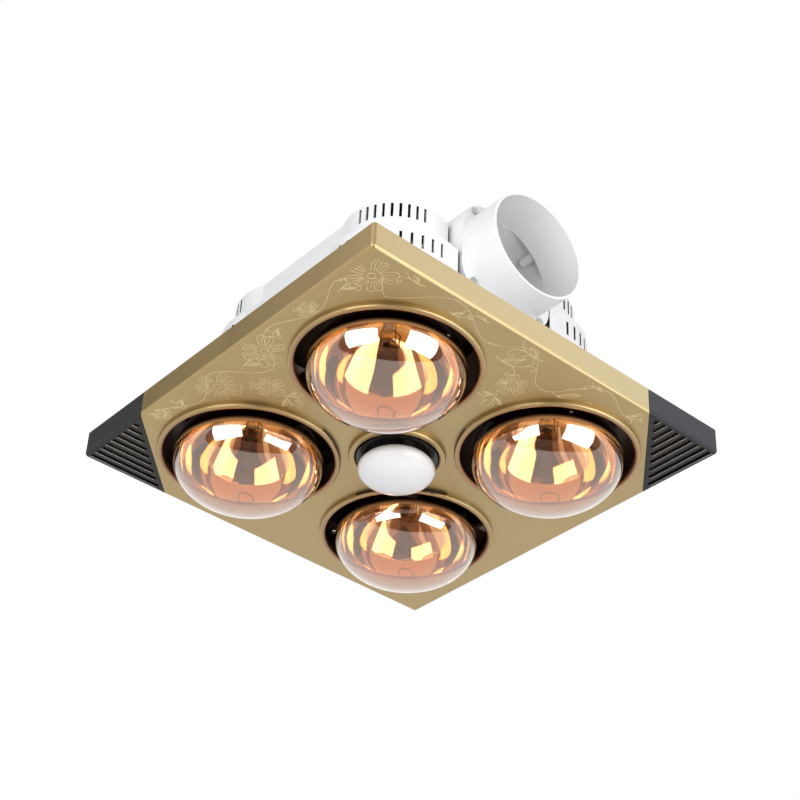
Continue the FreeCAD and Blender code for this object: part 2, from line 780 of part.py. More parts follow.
def bulb_cap():
    """A hollow screw cap with rolled thread ridges and an end contact."""
    shell = revolved(outline(cap_profile(0)))
    contact = rod(CONTACT_R, CAP_TOP + CAP_CONE - CAP_T, CAP_END)
    start = NECK_TOP + CAP_SKIRT + CAP_SLOPE
    pitch = (CAP_TOP - start) / THREADS
    grooves = []
    for k in range(THREADS):
        middle = start + (k + 0.5) * pitch
        low, high = span(middle, pitch / 2)
        groove = [(CAP_R + THREAD_H, low), (CAP_R - THREAD_H, middle), (CAP_R + THREAD_H, high)]
        grooves.append(revolved(outline(groove)))
    shell = cut(fuse([shell, contact]), grooves)
    return shell.cut(revolved(outline(cap_profile(2 * CAP_T))))


def bulb_filament():
    """The glass stem with two lead wires and the arched filament between them."""
    stem = rod(STEM_R, STEM_LOW, NECK_TOP)
    foot = NECK_R - GLASS_T - SCREW_GAP
    flare = Part.makeCone(foot, STEM_R, LEAD_AT, V(0, 0, NECK_TOP), V(0, 0, -1))
    arch = Part.makeTorus(LEAD_AT, FILAMENT_R, V(0, 0, FILAMENT_Z), V(0, 1, 0))
    lower = box(span(0, 4 * LEAD_AT), span(0, LEAD_AT), (BULB_EQUATOR, FILAMENT_Z))
    arch = arch.common(lower)
    leads = [rod(LEAD_R, FILAMENT_Z, STEM_LOW + LEAD_AT, side * LEAD_AT) for side in (-1, 1)]
    yoke = box(span(0, 2 * LEAD_AT + 2 * LEAD_R), span(0, 2 * LEAD_R), span(STEM_LOW + LEAD_AT, 2 * LEAD_R))
    return fuse([stem, flare, arch, yoke] + leads)


def lamp_holder():
    """A ceramic holder with a screw socket below and screw holes above."""
    body = rod(HOLDER_R, HOLDER_LOW, HOLDER_TOP)
    body = body.makeFillet(HOLDER_ROUND, edges_at(body, HOLDER_LOW))
    socket = rod(CAP_R + SEAT_GAP, HOLDER_LOW, CAP_END + SEAT_GAP)
    holes = [screw_hole(0, side * HOLDER_SCREW_AT, HOLDER_TOP - HOLDER_SCREW_LEN, HOLDER_TOP)
             for side in (-1, 1)]
    return cut(body, [socket] + holes)


def holder_bracket():
    """A hat-shaped strip that hangs a holder from the roof."""
    width = span(0, BRACKET_W)
    low = HOLDER_TOP
    parts = [box(width, (-BRACKET_HALF, BRACKET_HALF), (low, low + BRACKET_T))]
    feet = (ROOF_IN - BRACKET_T, ROOF_IN)
    for side in (-1, 1):
        leg = sorted((side * BRACKET_HALF, side * (BRACKET_HALF - BRACKET_T)))
        foot = sorted((side * BRACKET_HALF, side * (BRACKET_HALF + BRACKET_FOOT)))
        parts.append(box(width, leg, (low, ROOF_IN)))
        parts.append(box(width, foot, feet))
    holes = [screw_hole(0, side * HOLDER_SCREW_AT, low, low + BRACKET_T) for side in (-1, 1)]
    holes += [screw_hole(0, side * foot_screw_side(), *feet) for side in (-1, 1)]
    return cut(fuse(parts), holes)


def foot_screw_side():
    return BRACKET_HALF + BRACKET_FOOT / 2


def foot_screw_places():
    """Where the bracket screws pass through the roof, for all four holders."""
    places = []
    for sx, sy in CORNERS.values():
        turn = math.atan2(sy, sx)
        for side in (-foot_screw_side(), foot_screw_side()):
            places.append((sx * BULB_AT - side * math.sin(turn), sy * BULB_AT + side * math.cos(turn)))
    return places


def bracket_screws():
    length = WALL + 2 * BRACKET_T
    return Part.makeCompound([screw(x, y, HIGH_TOP, length) for x, y in foot_screw_places()])


def holder_screws():
    seat = HOLDER_TOP + BRACKET_T
    length = BRACKET_T + HOLDER_SCREW_LEN - SEAT_GAP
    pair = [screw(0, side * HOLDER_SCREW_AT, seat, length) for side in (-1, 1)]
    return Part.makeCompound([on_bulb(s, c) for c in CORNERS.values() for s in pair])


def shield_screw_places():
    """Two through the ends of the light bridge and two on the other sides."""
    at = SHIELD_SCREW_AT
    return [(at, 0), (-at, 0), (0, at), (0, -at)]


def heat_shield():
    plate = rounded_square(SHIELD_HALF, BASE_CORNER - WALL - SHIELD_EDGE, SHIELD_LOW, LEDGE_Z)
    through = (SHIELD_LOW, LEDGE_Z)
    holes = [rod(SHIELD_LAMP_R, *through, sx * BULB_AT, sy * BULB_AT) for sx, sy in CORNERS.values()]
    holes.append(rod(SHIELD_AIR_R, *through))
    holes += [screw_hole(x, y, *through) for x, y in shield_screw_places()]
    return cut(plate, holes)


def shield_screws():
    """Screws up into the ledge; the two on the bridge start below its strip."""
    length = WALL + SHIELD_T
    screws = []
    for x, y in shield_screw_places():
        on_bridge = abs(y) < BRIDGE_W / 2
        seat = BRIDGE_END_Z if on_bridge else SHIELD_LOW
        screws.append(screw(x, y, seat, LEDGE_Z + length - seat, up=-1))
    return Part.makeCompound(screws)


def light_bridge():
    """A bent strip across the housing that carries the centre light."""
    end = SHIELD_HALF
    under = [(-end, BRIDGE_END_Z), (-BRIDGE_RISE, BRIDGE_END_Z), (-BRIDGE_FLAT, CUP_TOP),
             (BRIDGE_FLAT, CUP_TOP), (BRIDGE_RISE, BRIDGE_END_Z), (end, BRIDGE_END_Z)]
    over = [(x, z + BRIDGE_T) for x, z in reversed(under)]
    strip = prism(under + over, BRIDGE_W)
    holes = [screw_hole(x, y, BRIDGE_END_Z, LEDGE_Z) for x, y in shield_screw_places()]
    holes += [screw_hole(side * LIGHT_SCREW_AT, 0, CUP_TOP, CUP_TOP + BRIDGE_T) for side in (-1, 1)]
    return cut(strip, holes)


def light_screws():
    seat = CUP_TOP + BRIDGE_T
    length = BRIDGE_T + 2 * CUP_T
    return Part.makeCompound([screw(side * LIGHT_SCREW_AT, 0, seat, length) for side in (-1, 1)])


def light_cup():
    cup = rod(CUP_R, CUP_LOW, CUP_TOP)
    cup = cup.cut(rod(CUP_R - CUP_T, CUP_LOW, CUP_TOP - CUP_T))
    return cut(cup, [screw_hole(side * LIGHT_SCREW_AT, 0, CUP_TOP - CUP_T, CUP_TOP) for side in (-1, 1)])


def light_driver():
    top = CUP_TOP - CUP_T
    block = box(span(0, DRIVER_X), span(0, DRIVER_Y), (top - DRIVER_H, top))
    return block


def light_collar():
    """The dark ring that holds the lens and closes the cup from below."""
    sleeve = tube(RING_R, LENS_NECK_R + LENS_GAP, RING_LOW, CUP_LOW)
    ledge = tube(CUP_R, LENS_NECK_R + LENS_GAP, CUP_LOW - RING_LEDGE, CUP_LOW)
    seat = tube(BOARD_R, LENS_NECK_R + LENS_GAP, CUP_LOW, RING_TOP)
    return fuse([sleeve, ledge, seat])


def light_board():
    return rod(BOARD_R, RING_TOP, RING_TOP + BOARD_T)


def lens_curve(trim):
    """The lens's half outline from its tip round to where it meets its neck."""
    wide = LENS_R - trim
    sweep = math.pi - math.asin((LENS_NECK_R - trim) / wide)
    return dome(wide, LENS_HALF_H - trim, LENS_Z, sweep)


def lens_body(trim):
    """The lens and its neck as a full solid, less trim all round."""
    curve = lens_curve(trim)
    shoulder = curve.valueAt(curve.LastParameter)
    tip = LENS_Z - LENS_HALF_H + trim
    rest = [(shoulder.x, shoulder.z), (shoulder.x, LENS_NECK_TOP), (0, LENS_NECK_TOP), (0, tip)]
    edges = [line(a, b) for a, b in zip(rest, rest[1:])]
    return revolved(Part.__sortEdges__([curve] + edges))


def light_lens():
    return lens_body(0).cut(lens_body(LENS_T))


def term_seat():
    """How far out the terminal box sits, clear of the wall and of the lobes beside it."""
    beside = max(LOBE_AT - TERM_Y, 0)
    lobe = LOBE_AT + math.sqrt(LOW_LOBE_R ** 2 - beside ** 2)
    return max(LOW_HALF, lobe)


def term_x():
    """The terminal box's (low, high) span along X, on the wall away from the duct."""
    return (-term_seat() - TERM_DEPTH, -term_seat())


def box_screw_places():
    """Screws from inside the terminal box into the housing wall, as (y, z)."""
    middle = sum(TERM_Z) / 2
    return [(0.0, middle - BLOCK_Z), (0.0, middle + BLOCK_Z)]


def lid_screw_places():
    inset = TERM_BOSS_R
    low, high = TERM_Z
    return [(-TERM_Y + inset, low + inset), (TERM_Y - inset, high - inset)]


def terminal_box():
    x = term_x()
    blank = box(x, (-TERM_Y, TERM_Y), TERM_Z)
    low, high = TERM_Z
    side = TERM_Y - TERM_WALL
    room = box((x[0], x[1] - TERM_WALL), (-side, side), (low + TERM_WALL, high - TERM_WALL))
    posts = [rod_x(TERM_BOSS_R, *x, y, z).common(blank) for y, z in lid_screw_places()]
    shell = fuse([blank.cut(room)] + posts)
    back = (x[1] - TERM_WALL, x[1])
    holes = [rod_x(SCREW_R + SCREW_GAP, x[0], x[1] - TERM_WALL, y, z) for y, z in lid_screw_places()]
    holes += [rod_x(SCREW_R + SCREW_GAP, *back, y, z) for y, z in box_screw_places()]
    holes.append(rod_x(WIRE_HOLE_R, *back, WIRE_Y, sum(TERM_Z) / 2))
    holes.append(rod(GLAND_THREAD_R + SCREW_GAP, high - TERM_WALL, high, gland_x(), GLAND_Y))
    return cut(shell, holes)


def gland_x():
    """The middle of the room inside the terminal box."""
    return (sum(term_x()) - TERM_WALL) / 2


def box_screws():
    seat = -term_seat() - TERM_WALL
    length = WALL - LOW_HALF - seat + TERM_WALL
    return Part.makeCompound([screw_x(y, z, seat, length, -1) for y, z in box_screw_places()])


def terminal_cover():
    low = term_x()[0]
    plate = box((low - TERM_LID, low), (-TERM_Y, TERM_Y), TERM_Z)
    return cut(plate, [rod_x(SCREW_R + SCREW_GAP, low - TERM_LID, low, y, z) for y, z in lid_screw_places()])


def cover_screws():
    seat = term_x()[0] - TERM_LID
    length = TERM_DEPTH / 2
    return Part.makeCompound([screw_x(y, z, seat, length, -1) for y, z in lid_screw_places()])


def terminal_block():
    """A strip of screw terminals on the terminal box's back wall."""
    back = term_x()[1] - TERM_WALL
    middle = sum(TERM_Z) / 2
    face = back - BLOCK_DEPTH
    block = box((face, back), span(0, BLOCK_Y), span(middle, BLOCK_Z))
    pitch = BLOCK_Y / BLOCK_WAYS
    ways = [rod_x(WAY_R, face, face + WAY_DEPTH, (k + 0.5) * pitch - BLOCK_Y / 2, middle)
            for k in range(BLOCK_WAYS)]
    return cut(block, ways)


def cable_gland():
    """The cable inlet on top of the terminal box, with an open bore."""
    seat = TERM_Z[1]
    x = gland_x()
    hex_top = seat + GLAND_HEX_H
    body = hexagon(GLAND_HEX_AF, seat, hex_top, x, GLAND_Y)
    dome = rod(GLAND_CAP_R, hex_top, hex_top + GLAND_CAP_H, x, GLAND_Y)
    dome = dome.makeFillet(HEAD_H, edges_at(dome, hex_top + GLAND_CAP_H))
    tail = rod(GLAND_THREAD_R, seat - GLAND_TAIL, seat, x, GLAND_Y)
    gland = fuse([body, dome, tail])
    return gland.cut(rod(GLAND_BORE_R, seat - GLAND_TAIL, hex_top + GLAND_CAP_H, x, GLAND_Y))


def gland_nut():
    high = TERM_Z[1] - TERM_WALL
    nut = hexagon(GLAND_HEX_AF, high - GLAND_NUT_H, high, gland_x(), GLAND_Y)
    return nut.cut(rod(GLAND_THREAD_R + SCREW_GAP, high - GLAND_NUT_H, high, gland_x(), GLAND_Y))


def wire_grommet():
    """The lined hole that leads the lamp's own wires into the housing."""
    z = sum(TERM_Z) / 2
    inner = -LOW_HALF + WALL
    outer = -term_seat() - TERM_WALL
    sleeve = rod_x(WIRE_HOLE_R, outer, inner, WIRE_Y, z)
    lips = [rod_x(WIRE_HOLE_R + WIRE_LIP, outer - WIRE_LIP, outer, WIRE_Y, z),
            rod_x(WIRE_HOLE_R + WIRE_LIP, inner, inner + WIRE_LIP, WIRE_Y, z)]
    body = fuse([sleeve] + lips)
    return body.cut(rod_x(WIRE_BORE_R, outer - WIRE_LIP, inner + WIRE_LIP, WIRE_Y, z))


def panel_nodes():
    left = grille_left()
    return {"face_panel": face_panel(), "grille_left": left, "grille_right": grille_right(left),
            "grille_nuts": grille_nuts(), "panel_clips": panel_clips()}


def housing_nodes():
    return {"housing": housing(), "heat_shield": heat_shield(), "shield_screws": shield_screws()}


def fan_nodes():
    return {"fan_scroll": fan_scroll(), "scroll_screws": scroll_screws(), "motor": motor(),
            "motor_screws": motor_screws(), "motor_shaft": motor_shaft(), "impeller": impeller(),
            "impeller_nut": impeller_nut(), "duct_collar": duct_collar(),
            "collar_screws": collar_screws()}


def wiring_nodes():
    return {"terminal_box": terminal_box(), "box_screws": box_screws(),
            "terminal_cover": terminal_cover(), "cover_screws": cover_screws(),
            "terminal_block": terminal_block(), "cable_gland": cable_gland(),
            "gland_nut": gland_nut(), "wire_grommet": wire_grommet()}


def light_nodes():
    return {"light_bridge": light_bridge(), "light_screws": light_screws(), "light_cup": light_cup(),
            "light_driver": light_driver(), "light_board": light_board(),
            "light_collar": light_collar(), "light_lens": light_lens()}


def lamp_nodes():
    """The four lamps, each made once on the Z axis and placed at its corner."""
    pieces = {"bulb_glass": bulb_glass(), "bulb_cap": bulb_cap(), "bulb_filament": bulb_filament(),
              "lamp_holder": lamp_holder(), "holder_bracket": holder_bracket()}
    nodes = {"bracket_screws": bracket_screws(), "holder_screws": holder_screws()}
    for name, corner in CORNERS.items():
        for piece, shape in pieces.items():
            nodes[f"{piece}_{name}"] = on_bulb(shape, corner)
    return nodes


def main():
    os.makedirs("parts", exist_ok=True)
    for group in (panel_nodes, housing_nodes, fan_nodes, wiring_nodes, light_nodes, lamp_nodes):
        for name, shape in group().items():
            shape.exportStep(f"parts/{name}.step")


main()
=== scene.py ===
"""Bathroom ceiling heat lamp: finishes, bulbs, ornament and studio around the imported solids."""
import math

import bmesh
import bpy
from bpy.props import FloatProperty, FloatVectorProperty, IntProperty, PointerProperty
from mathutils import Matrix, Vector


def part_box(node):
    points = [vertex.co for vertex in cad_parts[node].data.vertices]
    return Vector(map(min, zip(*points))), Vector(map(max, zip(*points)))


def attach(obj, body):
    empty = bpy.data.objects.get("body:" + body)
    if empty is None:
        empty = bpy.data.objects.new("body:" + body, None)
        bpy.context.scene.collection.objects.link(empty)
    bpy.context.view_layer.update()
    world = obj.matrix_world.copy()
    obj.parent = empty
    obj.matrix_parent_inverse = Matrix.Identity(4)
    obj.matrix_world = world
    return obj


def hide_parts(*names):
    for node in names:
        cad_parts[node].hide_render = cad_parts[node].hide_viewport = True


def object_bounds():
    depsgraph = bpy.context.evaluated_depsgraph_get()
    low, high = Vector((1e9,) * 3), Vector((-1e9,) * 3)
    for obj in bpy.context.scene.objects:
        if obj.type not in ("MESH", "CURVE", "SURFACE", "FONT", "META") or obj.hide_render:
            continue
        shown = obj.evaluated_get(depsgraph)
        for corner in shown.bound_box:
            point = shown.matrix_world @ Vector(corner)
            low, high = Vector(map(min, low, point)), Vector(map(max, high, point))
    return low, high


bl_info = {
    "name": "Bathroom Ceiling Heat Lamp",
    "version": (1, 0, 0),
    "blender": (4, 5, 0),
    "location": "View3D > Sidebar > Heat Lamp",
    "description": "Dresses the solids of a ceiling heat lamp with finishes, bulbs, ornament and a studio",
    "category": "Object",
}

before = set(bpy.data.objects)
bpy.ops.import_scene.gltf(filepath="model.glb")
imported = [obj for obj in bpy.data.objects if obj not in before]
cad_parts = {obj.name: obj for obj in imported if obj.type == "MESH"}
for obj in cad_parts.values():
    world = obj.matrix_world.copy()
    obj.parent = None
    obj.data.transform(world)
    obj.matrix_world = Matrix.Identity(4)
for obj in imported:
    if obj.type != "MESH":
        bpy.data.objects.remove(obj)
CAD_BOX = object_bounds()
LAMPS = ("near", "right", "far", "left")
ROOT = "lamp_body"
FACE_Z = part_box("grille_left")[0].z
PANEL_HALF = CAD_BOX[1].x
BULB_BOXES = {lamp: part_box("bulb_glass_" + lamp) for lamp in LAMPS}
BULB_TIP = BULB_BOXES["near"][0].z
LAMP_AT = sum(corner.x for corner in BULB_BOXES["near"]) / 2
CREASE = math.radians(50)  # edges of turned pieces that bend by more stay sharp


def on_screen(level):
    """A brightness as seen on screen, from 0 to 1, as a linear value."""
    return level / 12.92 if level <= 0.04045 else ((level + 0.055) / 1.055) ** 2.4


def colour(label, note, red, green, blue):
    """A colour setting whose default is given as it looks on screen."""
    value = [on_screen(part) for part in (red, green, blue)]
    return FloatVectorProperty(name=label, description=note, subtype="COLOR", size=3, min=0, max=1,
                               default=value)


def length(label, note, metres):
    return FloatProperty(name=label, description=note, default=metres, min=0, precision=5,
                         subtype="DISTANCE", unit="LENGTH")


def angle(label, note, degrees):
    return FloatProperty(name=label, description=note, default=math.radians(degrees), subtype="ANGLE",
                         unit="ROTATION")


def amount(label, note, value):
    return FloatProperty(name=label, description=note, default=value, min=0)


def power(label, note, watts):
    return FloatProperty(name=label, description=note, default=watts, min=0, unit="POWER")


def tally(label, note, number, least):
    return IntProperty(name=label, description=note, default=number, min=least)


class LampColours(bpy.types.PropertyGroup):
    """Colours of the lamp's finishes."""
    panel: colour("Panel", "Satin gold paint of the face panel", 0.68, 0.585, 0.395)
    ornament: colour("Ornament", "Bright cut lines in the panel", 0.92, 0.86, 0.68)
    # Painted reflection: the copper tone on the rings' inner edges stands for the gold bulbs reflected
    # there
    bulb_reflection_tint: colour("Heat tint", "Copper tone that heat gives the rings' inner edges", 0.58, 0.38, 0.24)
    # Painted shade: the Inside colour darkens the housing's inner and downward faces and the panel's
    # unpainted inside, standing for the shade within the lamp
    inside: colour("Inside", "Dull dark inside of the panel and the housing", 0.24, 0.17, 0.125)
    grille: colour("Grille", "Satin black of the corner grilles", 0.135, 0.13, 0.132)
    # Painted highlight: pale metal lines along the slot edges stand for light caught on the slats' edges
    slat_highlight: colour("Slat edges", "Polished edges of the grille's slats", 0.78, 0.76, 0.70)
    housing: colour("Housing", "White moulded housing and duct", 0.95, 0.95, 0.955)
    mirror: colour("Mirror", "Gold mirror inside the bulbs", 0.97, 0.86, 0.66)
    # Painted reflection and painted glint: the flank's dark colour stands for the dark inside mirrored in
    # it, and the copper band at its widest ring for a glint
    flank: colour("Flank", "Dull outer face of the coat on a bulb's flank", 0.42, 0.24, 0.15)
    flank_glint: colour("Flank edge", "Copper edge of that coat at a bulb's widest ring", 0.93, 0.70, 0.46)
    glass: colour("Glass", "Faint tint of the bulbs' fronts", 1.0, 0.93, 0.88)
    glass_tip: colour("Glass tip", "Warmer tint of the glass at a bulb's tip", 0.98, 0.80, 0.68)
    glass_sheen: colour("Glass sheen", "Tint of what the bulbs' fronts reflect", 1.0, 0.86, 0.78)
    lens: colour("Lens", "Opal lens of the centre light", 0.97, 0.965, 0.975)
    collar: colour("Collar", "Black ring round the lens", 0.07, 0.065, 0.06)
    zinc: colour("Zinc", "Plated brackets and screws", 0.74, 0.74, 0.73)
    aluminium: colour("Aluminium", "Plain sheet of the light's cup", 0.80, 0.80, 0.80)
    # Painted shade: the shield, clips and brackets inside the lamp are darkened to stand for the shade they
    # sit in
    shield: colour("Shield", "Heat-darkened shield over the bulbs", 0.30, 0.25, 0.21)
    brass: colour("Brass", "Screw caps and the fan's nut", 0.80, 0.66, 0.38)
    ceramic: colour("Ceramic", "Glazed lamp holders", 0.92, 0.91, 0.88)
    rubber: colour("Rubber", "Grommet", 0.10, 0.10, 0.10)
    grey: colour("Grey plastic", "Fan wheel and terminal box", 0.62, 0.63, 0.64)
    motor: colour("Motor", "Paint of the motor's can", 0.17, 0.17, 0.18)
    stem: colour("Stem", "Glass stem inside the bulbs", 0.90, 0.92, 0.92)
    edge_light: colour("Edge light", "Cool white of the edge lights", 0.80, 0.90, 1.0)
    floor: colour("Floor", "Pale studio floor", 0.93, 0.93, 0.93)
    card: colour("Dark card", "Dark cards that the bright parts reflect", 0.09, 0.04, 0.03)
    wall: colour("Room wall", "Dull walls of the room round the darkest part", 0.80, 0.66, 0.58)
    tungsten: colour("Tungsten", "Coiled filament and its wires", 0.42, 0.38, 0.35)


class LampSizes(bpy.types.PropertyGroup):
    """Sizes of the pieces that are made here."""
    bulb_front: length("Bulb front", "Depth of a bulb's domed front", 0.038)
    bulb_neck: length("Bulb neck", "Radius of a bulb's neck", 0.0165)
    glass_wall: length("Glass wall", "Thickness of a bulb's glass", 0.0012)
    mirror_gap: length("Mirror gap", "Room between the glass and the mirror", 0.00012)
    mirror_wall: length("Mirror wall", "Thickness of the mirror", 0.00025)
    mirror_end: length("Mirror end", "How far below the neck's top the mirror stops", 0.012)
    # Painted glint: height of the bright band above a bulb's widest ring
    flank_glint: length("Flank edge", "Height of the copper edge above a bulb's widest ring", 0.0046)
    warm_tip: length("Warm tip", "Height over which the glass's warm tint fades from a bulb's tip", 0.030)
    stem_radius: length("Stem radius", "Radius of the glass stem in a bulb", 0.004)
    stem_low: length("Stem low", "Height of the stem's lower end", 0.014)
    stem_foot: length("Stem foot", "Radius of the stem's flared foot", 0.015)
    stem_flare: length("Stem flare", "Height of the flared foot", 0.009)
    coil_at: length("Coil at", "Radius of the arch that the filament makes", 0.009)
    coil_drop: length("Coil drop", "Depth of the arch's ends below the ceiling line", 0.004)
    coil_radius: length("Coil radius", "Radius of the filament's turns", 0.00095)
    coil_wire: length("Coil wire", "Thickness of the filament's wire", 0.0003)
    lead_wire: length("Lead wire", "Thickness of the wires that hold the filament", 0.0009)
    coil_turns: tally("Coil turns", "Turns of the filament", 22, 4)
    turn_steps: tally("Turn steps", "Points on each turn of the filament", 10, 4)
    lens_radius: length("Lens radius", "Widest radius of the opal lens", 0.032)
    lens_half: length("Lens half height", "Half the height of the lens's bulge", 0.014)
    lens_neck: length("Lens neck", "Radius of the lens's neck", 0.026)
    # Painted shade: black on the lens's neck stands for the collar's shadow there
    lens_shade_start: length("Lens seat", "Height above the lens's tip at which its black seat starts", 0.0212)
    lens_wall: length("Lens wall", "Thickness of the lens", 0.002)
    line: length("Line", "Width of an ornament line", 0.00046)
    line_sunk: length("Line sunk", "Depth of an ornament line's middle in the face", 0.0001)
    row_start: length("Row start", "First motif's distance from the side with the grille", 0.096)
    row_end: length("Row end", "Last motif's distance from the near corner", 0.026)
    motifs: tally("Motifs", "Steps from the first motif to the last", 8, 2)
    motif_room: length("Motif room", "Widest strip that a motif of a row fills", 0.046)
    vine_wave: length("Vine wave", "Length along a side in which the vine's wave turns by one radian",
                      0.0125)
    spray_inset: length("Spray inset", "Distance of the middle sprays from the panel's side", 0.066)
    spray_size: length("Spray size", "Size of the middle sprays", 0.026)
    line_margin: length("Line margin", "Bare edge that the ornament keeps", 0.0032)
    # Painted highlight: width of the pale line along a slat's edge
    slat_highlight_width: length("Slat line", "Width of the polished edge of a slat", 0.0004)
    lamp_ring: length("Lamp ring", "Outer radius of the raised ring round a bulb", 0.0765)
    slot_pitch: length("Slot pitch", "Step from one grille slot to the next", 0.0078)
    slot_width: length("Slot width", "Width of a grille slot", 0.0042)
    slot_inset: length("Slot inset", "First slot's middle from the panel's side", 0.0065)
    slot_end: length("Slot end", "Solid margin at each end of a slot", 0.0035)
    slot_least: length("Shortest slot", "Shortest slot in a grille", 0.005)
    joint: length("Joint", "Joint line's distance from the centre along the diagonal", 0.2043)
    steps: tally("Steps", "Points on each turned outline", 40, 8)
    turns: tally("Turns", "Sides of each turned piece", 128, 16)


class StudioSettings(bpy.types.PropertyGroup):
    """The camera and the light round it."""
    azimuth: angle("Azimuth", "Direction that the camera stands in", 50.26)
    elevation: angle("Elevation", "Camera's height above the horizon", -36.01)
    roll: angle("Roll", "Camera's turn about its own axis", 2.74)
    distance: length("Distance", "Camera's distance from the lamp", 1.47659)
    slide_right: length("Slide right", "Camera's shift to its right", 0.00154)
    slide_up: length("Slide up", "Camera's shift upwards", 0.02707)
    focal: FloatProperty(name="Focal length", description="Lens on a 36 mm sensor", default=79.66,
                         subtype="DISTANCE_CAMERA", unit="CAMERA")
    floor_drop: length("Floor drop", "Floor's depth below the ceiling line", 1.5)
    floor_side: length("Floor side", "Side of the square floor", 9.0)
    box_turn: angle("Softbox turn", "How far right of the camera the middle of the softboxes stands", 6.0)
    box_spread: angle("Softbox spread", "Each softbox's turn away from that middle", 38.5)
    box_elevation: angle("Softbox elevation", "Softboxes' middle height above the horizon", -8.0)
    box_tilt: angle("Softbox tilt", "How far the left softbox stands above that and the right one below",
                    3.0)
    box_distance: length("Softbox distance", "Softbox's distance from the lamp", 1.5)
    box_width: length("Softbox width", "Width of a softbox", 1.1)
    box_height: length("Softbox height", "Height of a softbox", 1.45)
    box_matt: amount("Softbox matt share", "Share of the softboxes' light that matt surfaces get", 0.70)
    box_power: power("Softbox power", "Power of each softbox", 20.0)
    glint_power: power("Glint power", "Power of a softbox that only the bulbs' glass shows", 40.0)
    light_step: amount("Light step", "Share by which lights in one direction stand apart", 0.01)
    edge_azimuth: angle("Edge light azimuth", "Direction of the two lights that edge the panel", 131.0)
    edge_elevation: angle("Edge light elevation", "Upper edge light's height above the horizon", 32.0)
    edge_drop: angle("Edge light drop", "Lower edge light's depth below the horizon", 34.0)
    edge_distance: length("Edge light distance", "Edge lights' distance from the lamp", 1.9)
    edge_width: length("Edge light width", "Width of an edge light", 0.8)
    edge_height: length("Edge light height", "Height of an edge light", 1.8)
    edge_power: power("Edge light power", "Power of the upper edge light", 5.5)
    edge_gain: amount("Edge light gain", "Power of the lower edge light as a multiple of the upper one's",
                      3.0)
    duct_azimuth: angle("Duct light azimuth", "Direction of the narrow light that looks into the duct",
                        62.0)
    duct_elevation: angle("Duct light elevation", "Duct light's height above the horizon", -25.0)
    duct_distance: length("Duct light distance", "Duct light's distance from the duct", 1.0)
    duct_cone: angle("Duct light cone", "Whole angle of the duct light's cone", 5.2)
    duct_blend: amount("Duct light blend", "Share of the duct light's cone over which its edge fades", 0.6)
    duct_size: length("Duct light size", "Radius of the duct light", 0.03)
    duct_power: power("Duct light power", "Power of the duct light", 6.5)
    flag_azimuth: angle("Flag azimuth", "Direction of the dark flag that the panel's left rim reflects",
                        -58.0)
    flag_elevation: angle("Flag elevation", "Flag's height above the horizon", 36.0)
    flag_side: length("Flag side", "Side of the dark flag", 0.9)
    dim_distance: length("Dim distance", "Distance of the flag and of the dim room behind the camera", 2.2)
    dim_turn: angle("Dim turn", "How far right of the camera the middle of the dim room stands", 6.0)
    dim_elevation: angle("Dim elevation", "Height of the dim room's middle above the horizon", -19.0)
    dim_wide: angle("Dim width", "Half the dim room's width", 72.0)
    dim_tall: angle("Dim height", "Half the dim room's height", 49.0)
    room_rings: tally("Room rings", "Rings of the dim room", 8, 2)
    room_sides: tally("Room sides", "Sides of each ring of the dim room", 48, 8)
    room_core: tally("Room core", "Rings in the room's darkest part", 4, 1)
    window_ring: tally("Window ring", "Ring that the windows are in", 5, 1)
    window_reach: amount("Window reach", "Half the windows' height as a share of the room's", 0.6)
    fill_elevation: angle("Fill elevation", "Height of the soft fill light above the horizon", -68.0)
    fill_distance: length("Fill distance", "Distance of the fill lights from the lamp", 1.5)
    fill_side: length("Fill side", "Side of a fill light", 1.2)
    fill_power: power("Fill power", "Power of the fill light from below", 4.5)
    back_elevation: angle("Back elevation", "Height of the fill light behind the lamp above the horizon",
                          42.0)
    back_power: power("Back power", "Power of the fill light behind the lamp", 9.0)
    ambient: amount("Ambient", "Strength of the even light from all round", 0.36)


def colours():
    return bpy.context.scene.heatlamp_colours


def sizes():
    return bpy.context.scene.heatlamp_sizes


def studio():
    return bpy.context.scene.heatlamp_studio


# Shader building

def add(tree, kind, inputs=(), **settings):
    """A node with its settings, whose inputs get a value or a link from another node's socket."""
    made = tree.nodes.new(kind)
    for key, value in settings.items():
        setattr(made, key, value)
    for key, value in dict(inputs).items():
        if isinstance(value, bpy.types.NodeSocket):
            tree.links.new(value, made.inputs[key])
        else:
            made.inputs[key].default_value = value
    return made


def maths(tree, operation, first, second=0.0):
    """The result of a sum on two values or sockets."""
    return add(tree, "ShaderNodeMath", {0: first, 1: second}, operation=operation).outputs[0]


def new_group(name, inputs, outputs):
    """An empty node group with float or colour sockets, its inner ends returned with it."""
    tree = bpy.data.node_groups.new(name, "ShaderNodeTree")
    kinds = {float: "NodeSocketFloat", tuple: "NodeSocketColor"}
    for label, value in inputs.items():
        socket = tree.interface.new_socket(name=label, in_out="INPUT", socket_type=kinds[type(value)])
        socket.default_value = value
    for label, kind in outputs.items():
        tree.interface.new_socket(name=label, in_out="OUTPUT", socket_type=kinds[kind])
    return tree, tree.nodes.new("NodeGroupInput").outputs, tree.nodes.new("NodeGroupOutput")


def shared_group(name, inputs, outputs):
    """Turns a function that fills a node group into one that returns it, filled on first use."""
    def wrap(fill):
        def get():
            known = bpy.data.node_groups.get(name)
            if known:
                return known
            tree, source, sink = new_group(name, inputs, outputs)
            fill(tree, source, sink)
            return tree
        return get
    return wrap


def object_place(tree):
    """The X, Y and Z of a place in the object's own coordinates."""
    coords = add(tree, "ShaderNodeTexCoord").outputs
    return add(tree, "ShaderNodeSeparateXYZ", {0: coords["Object"]}).outputs


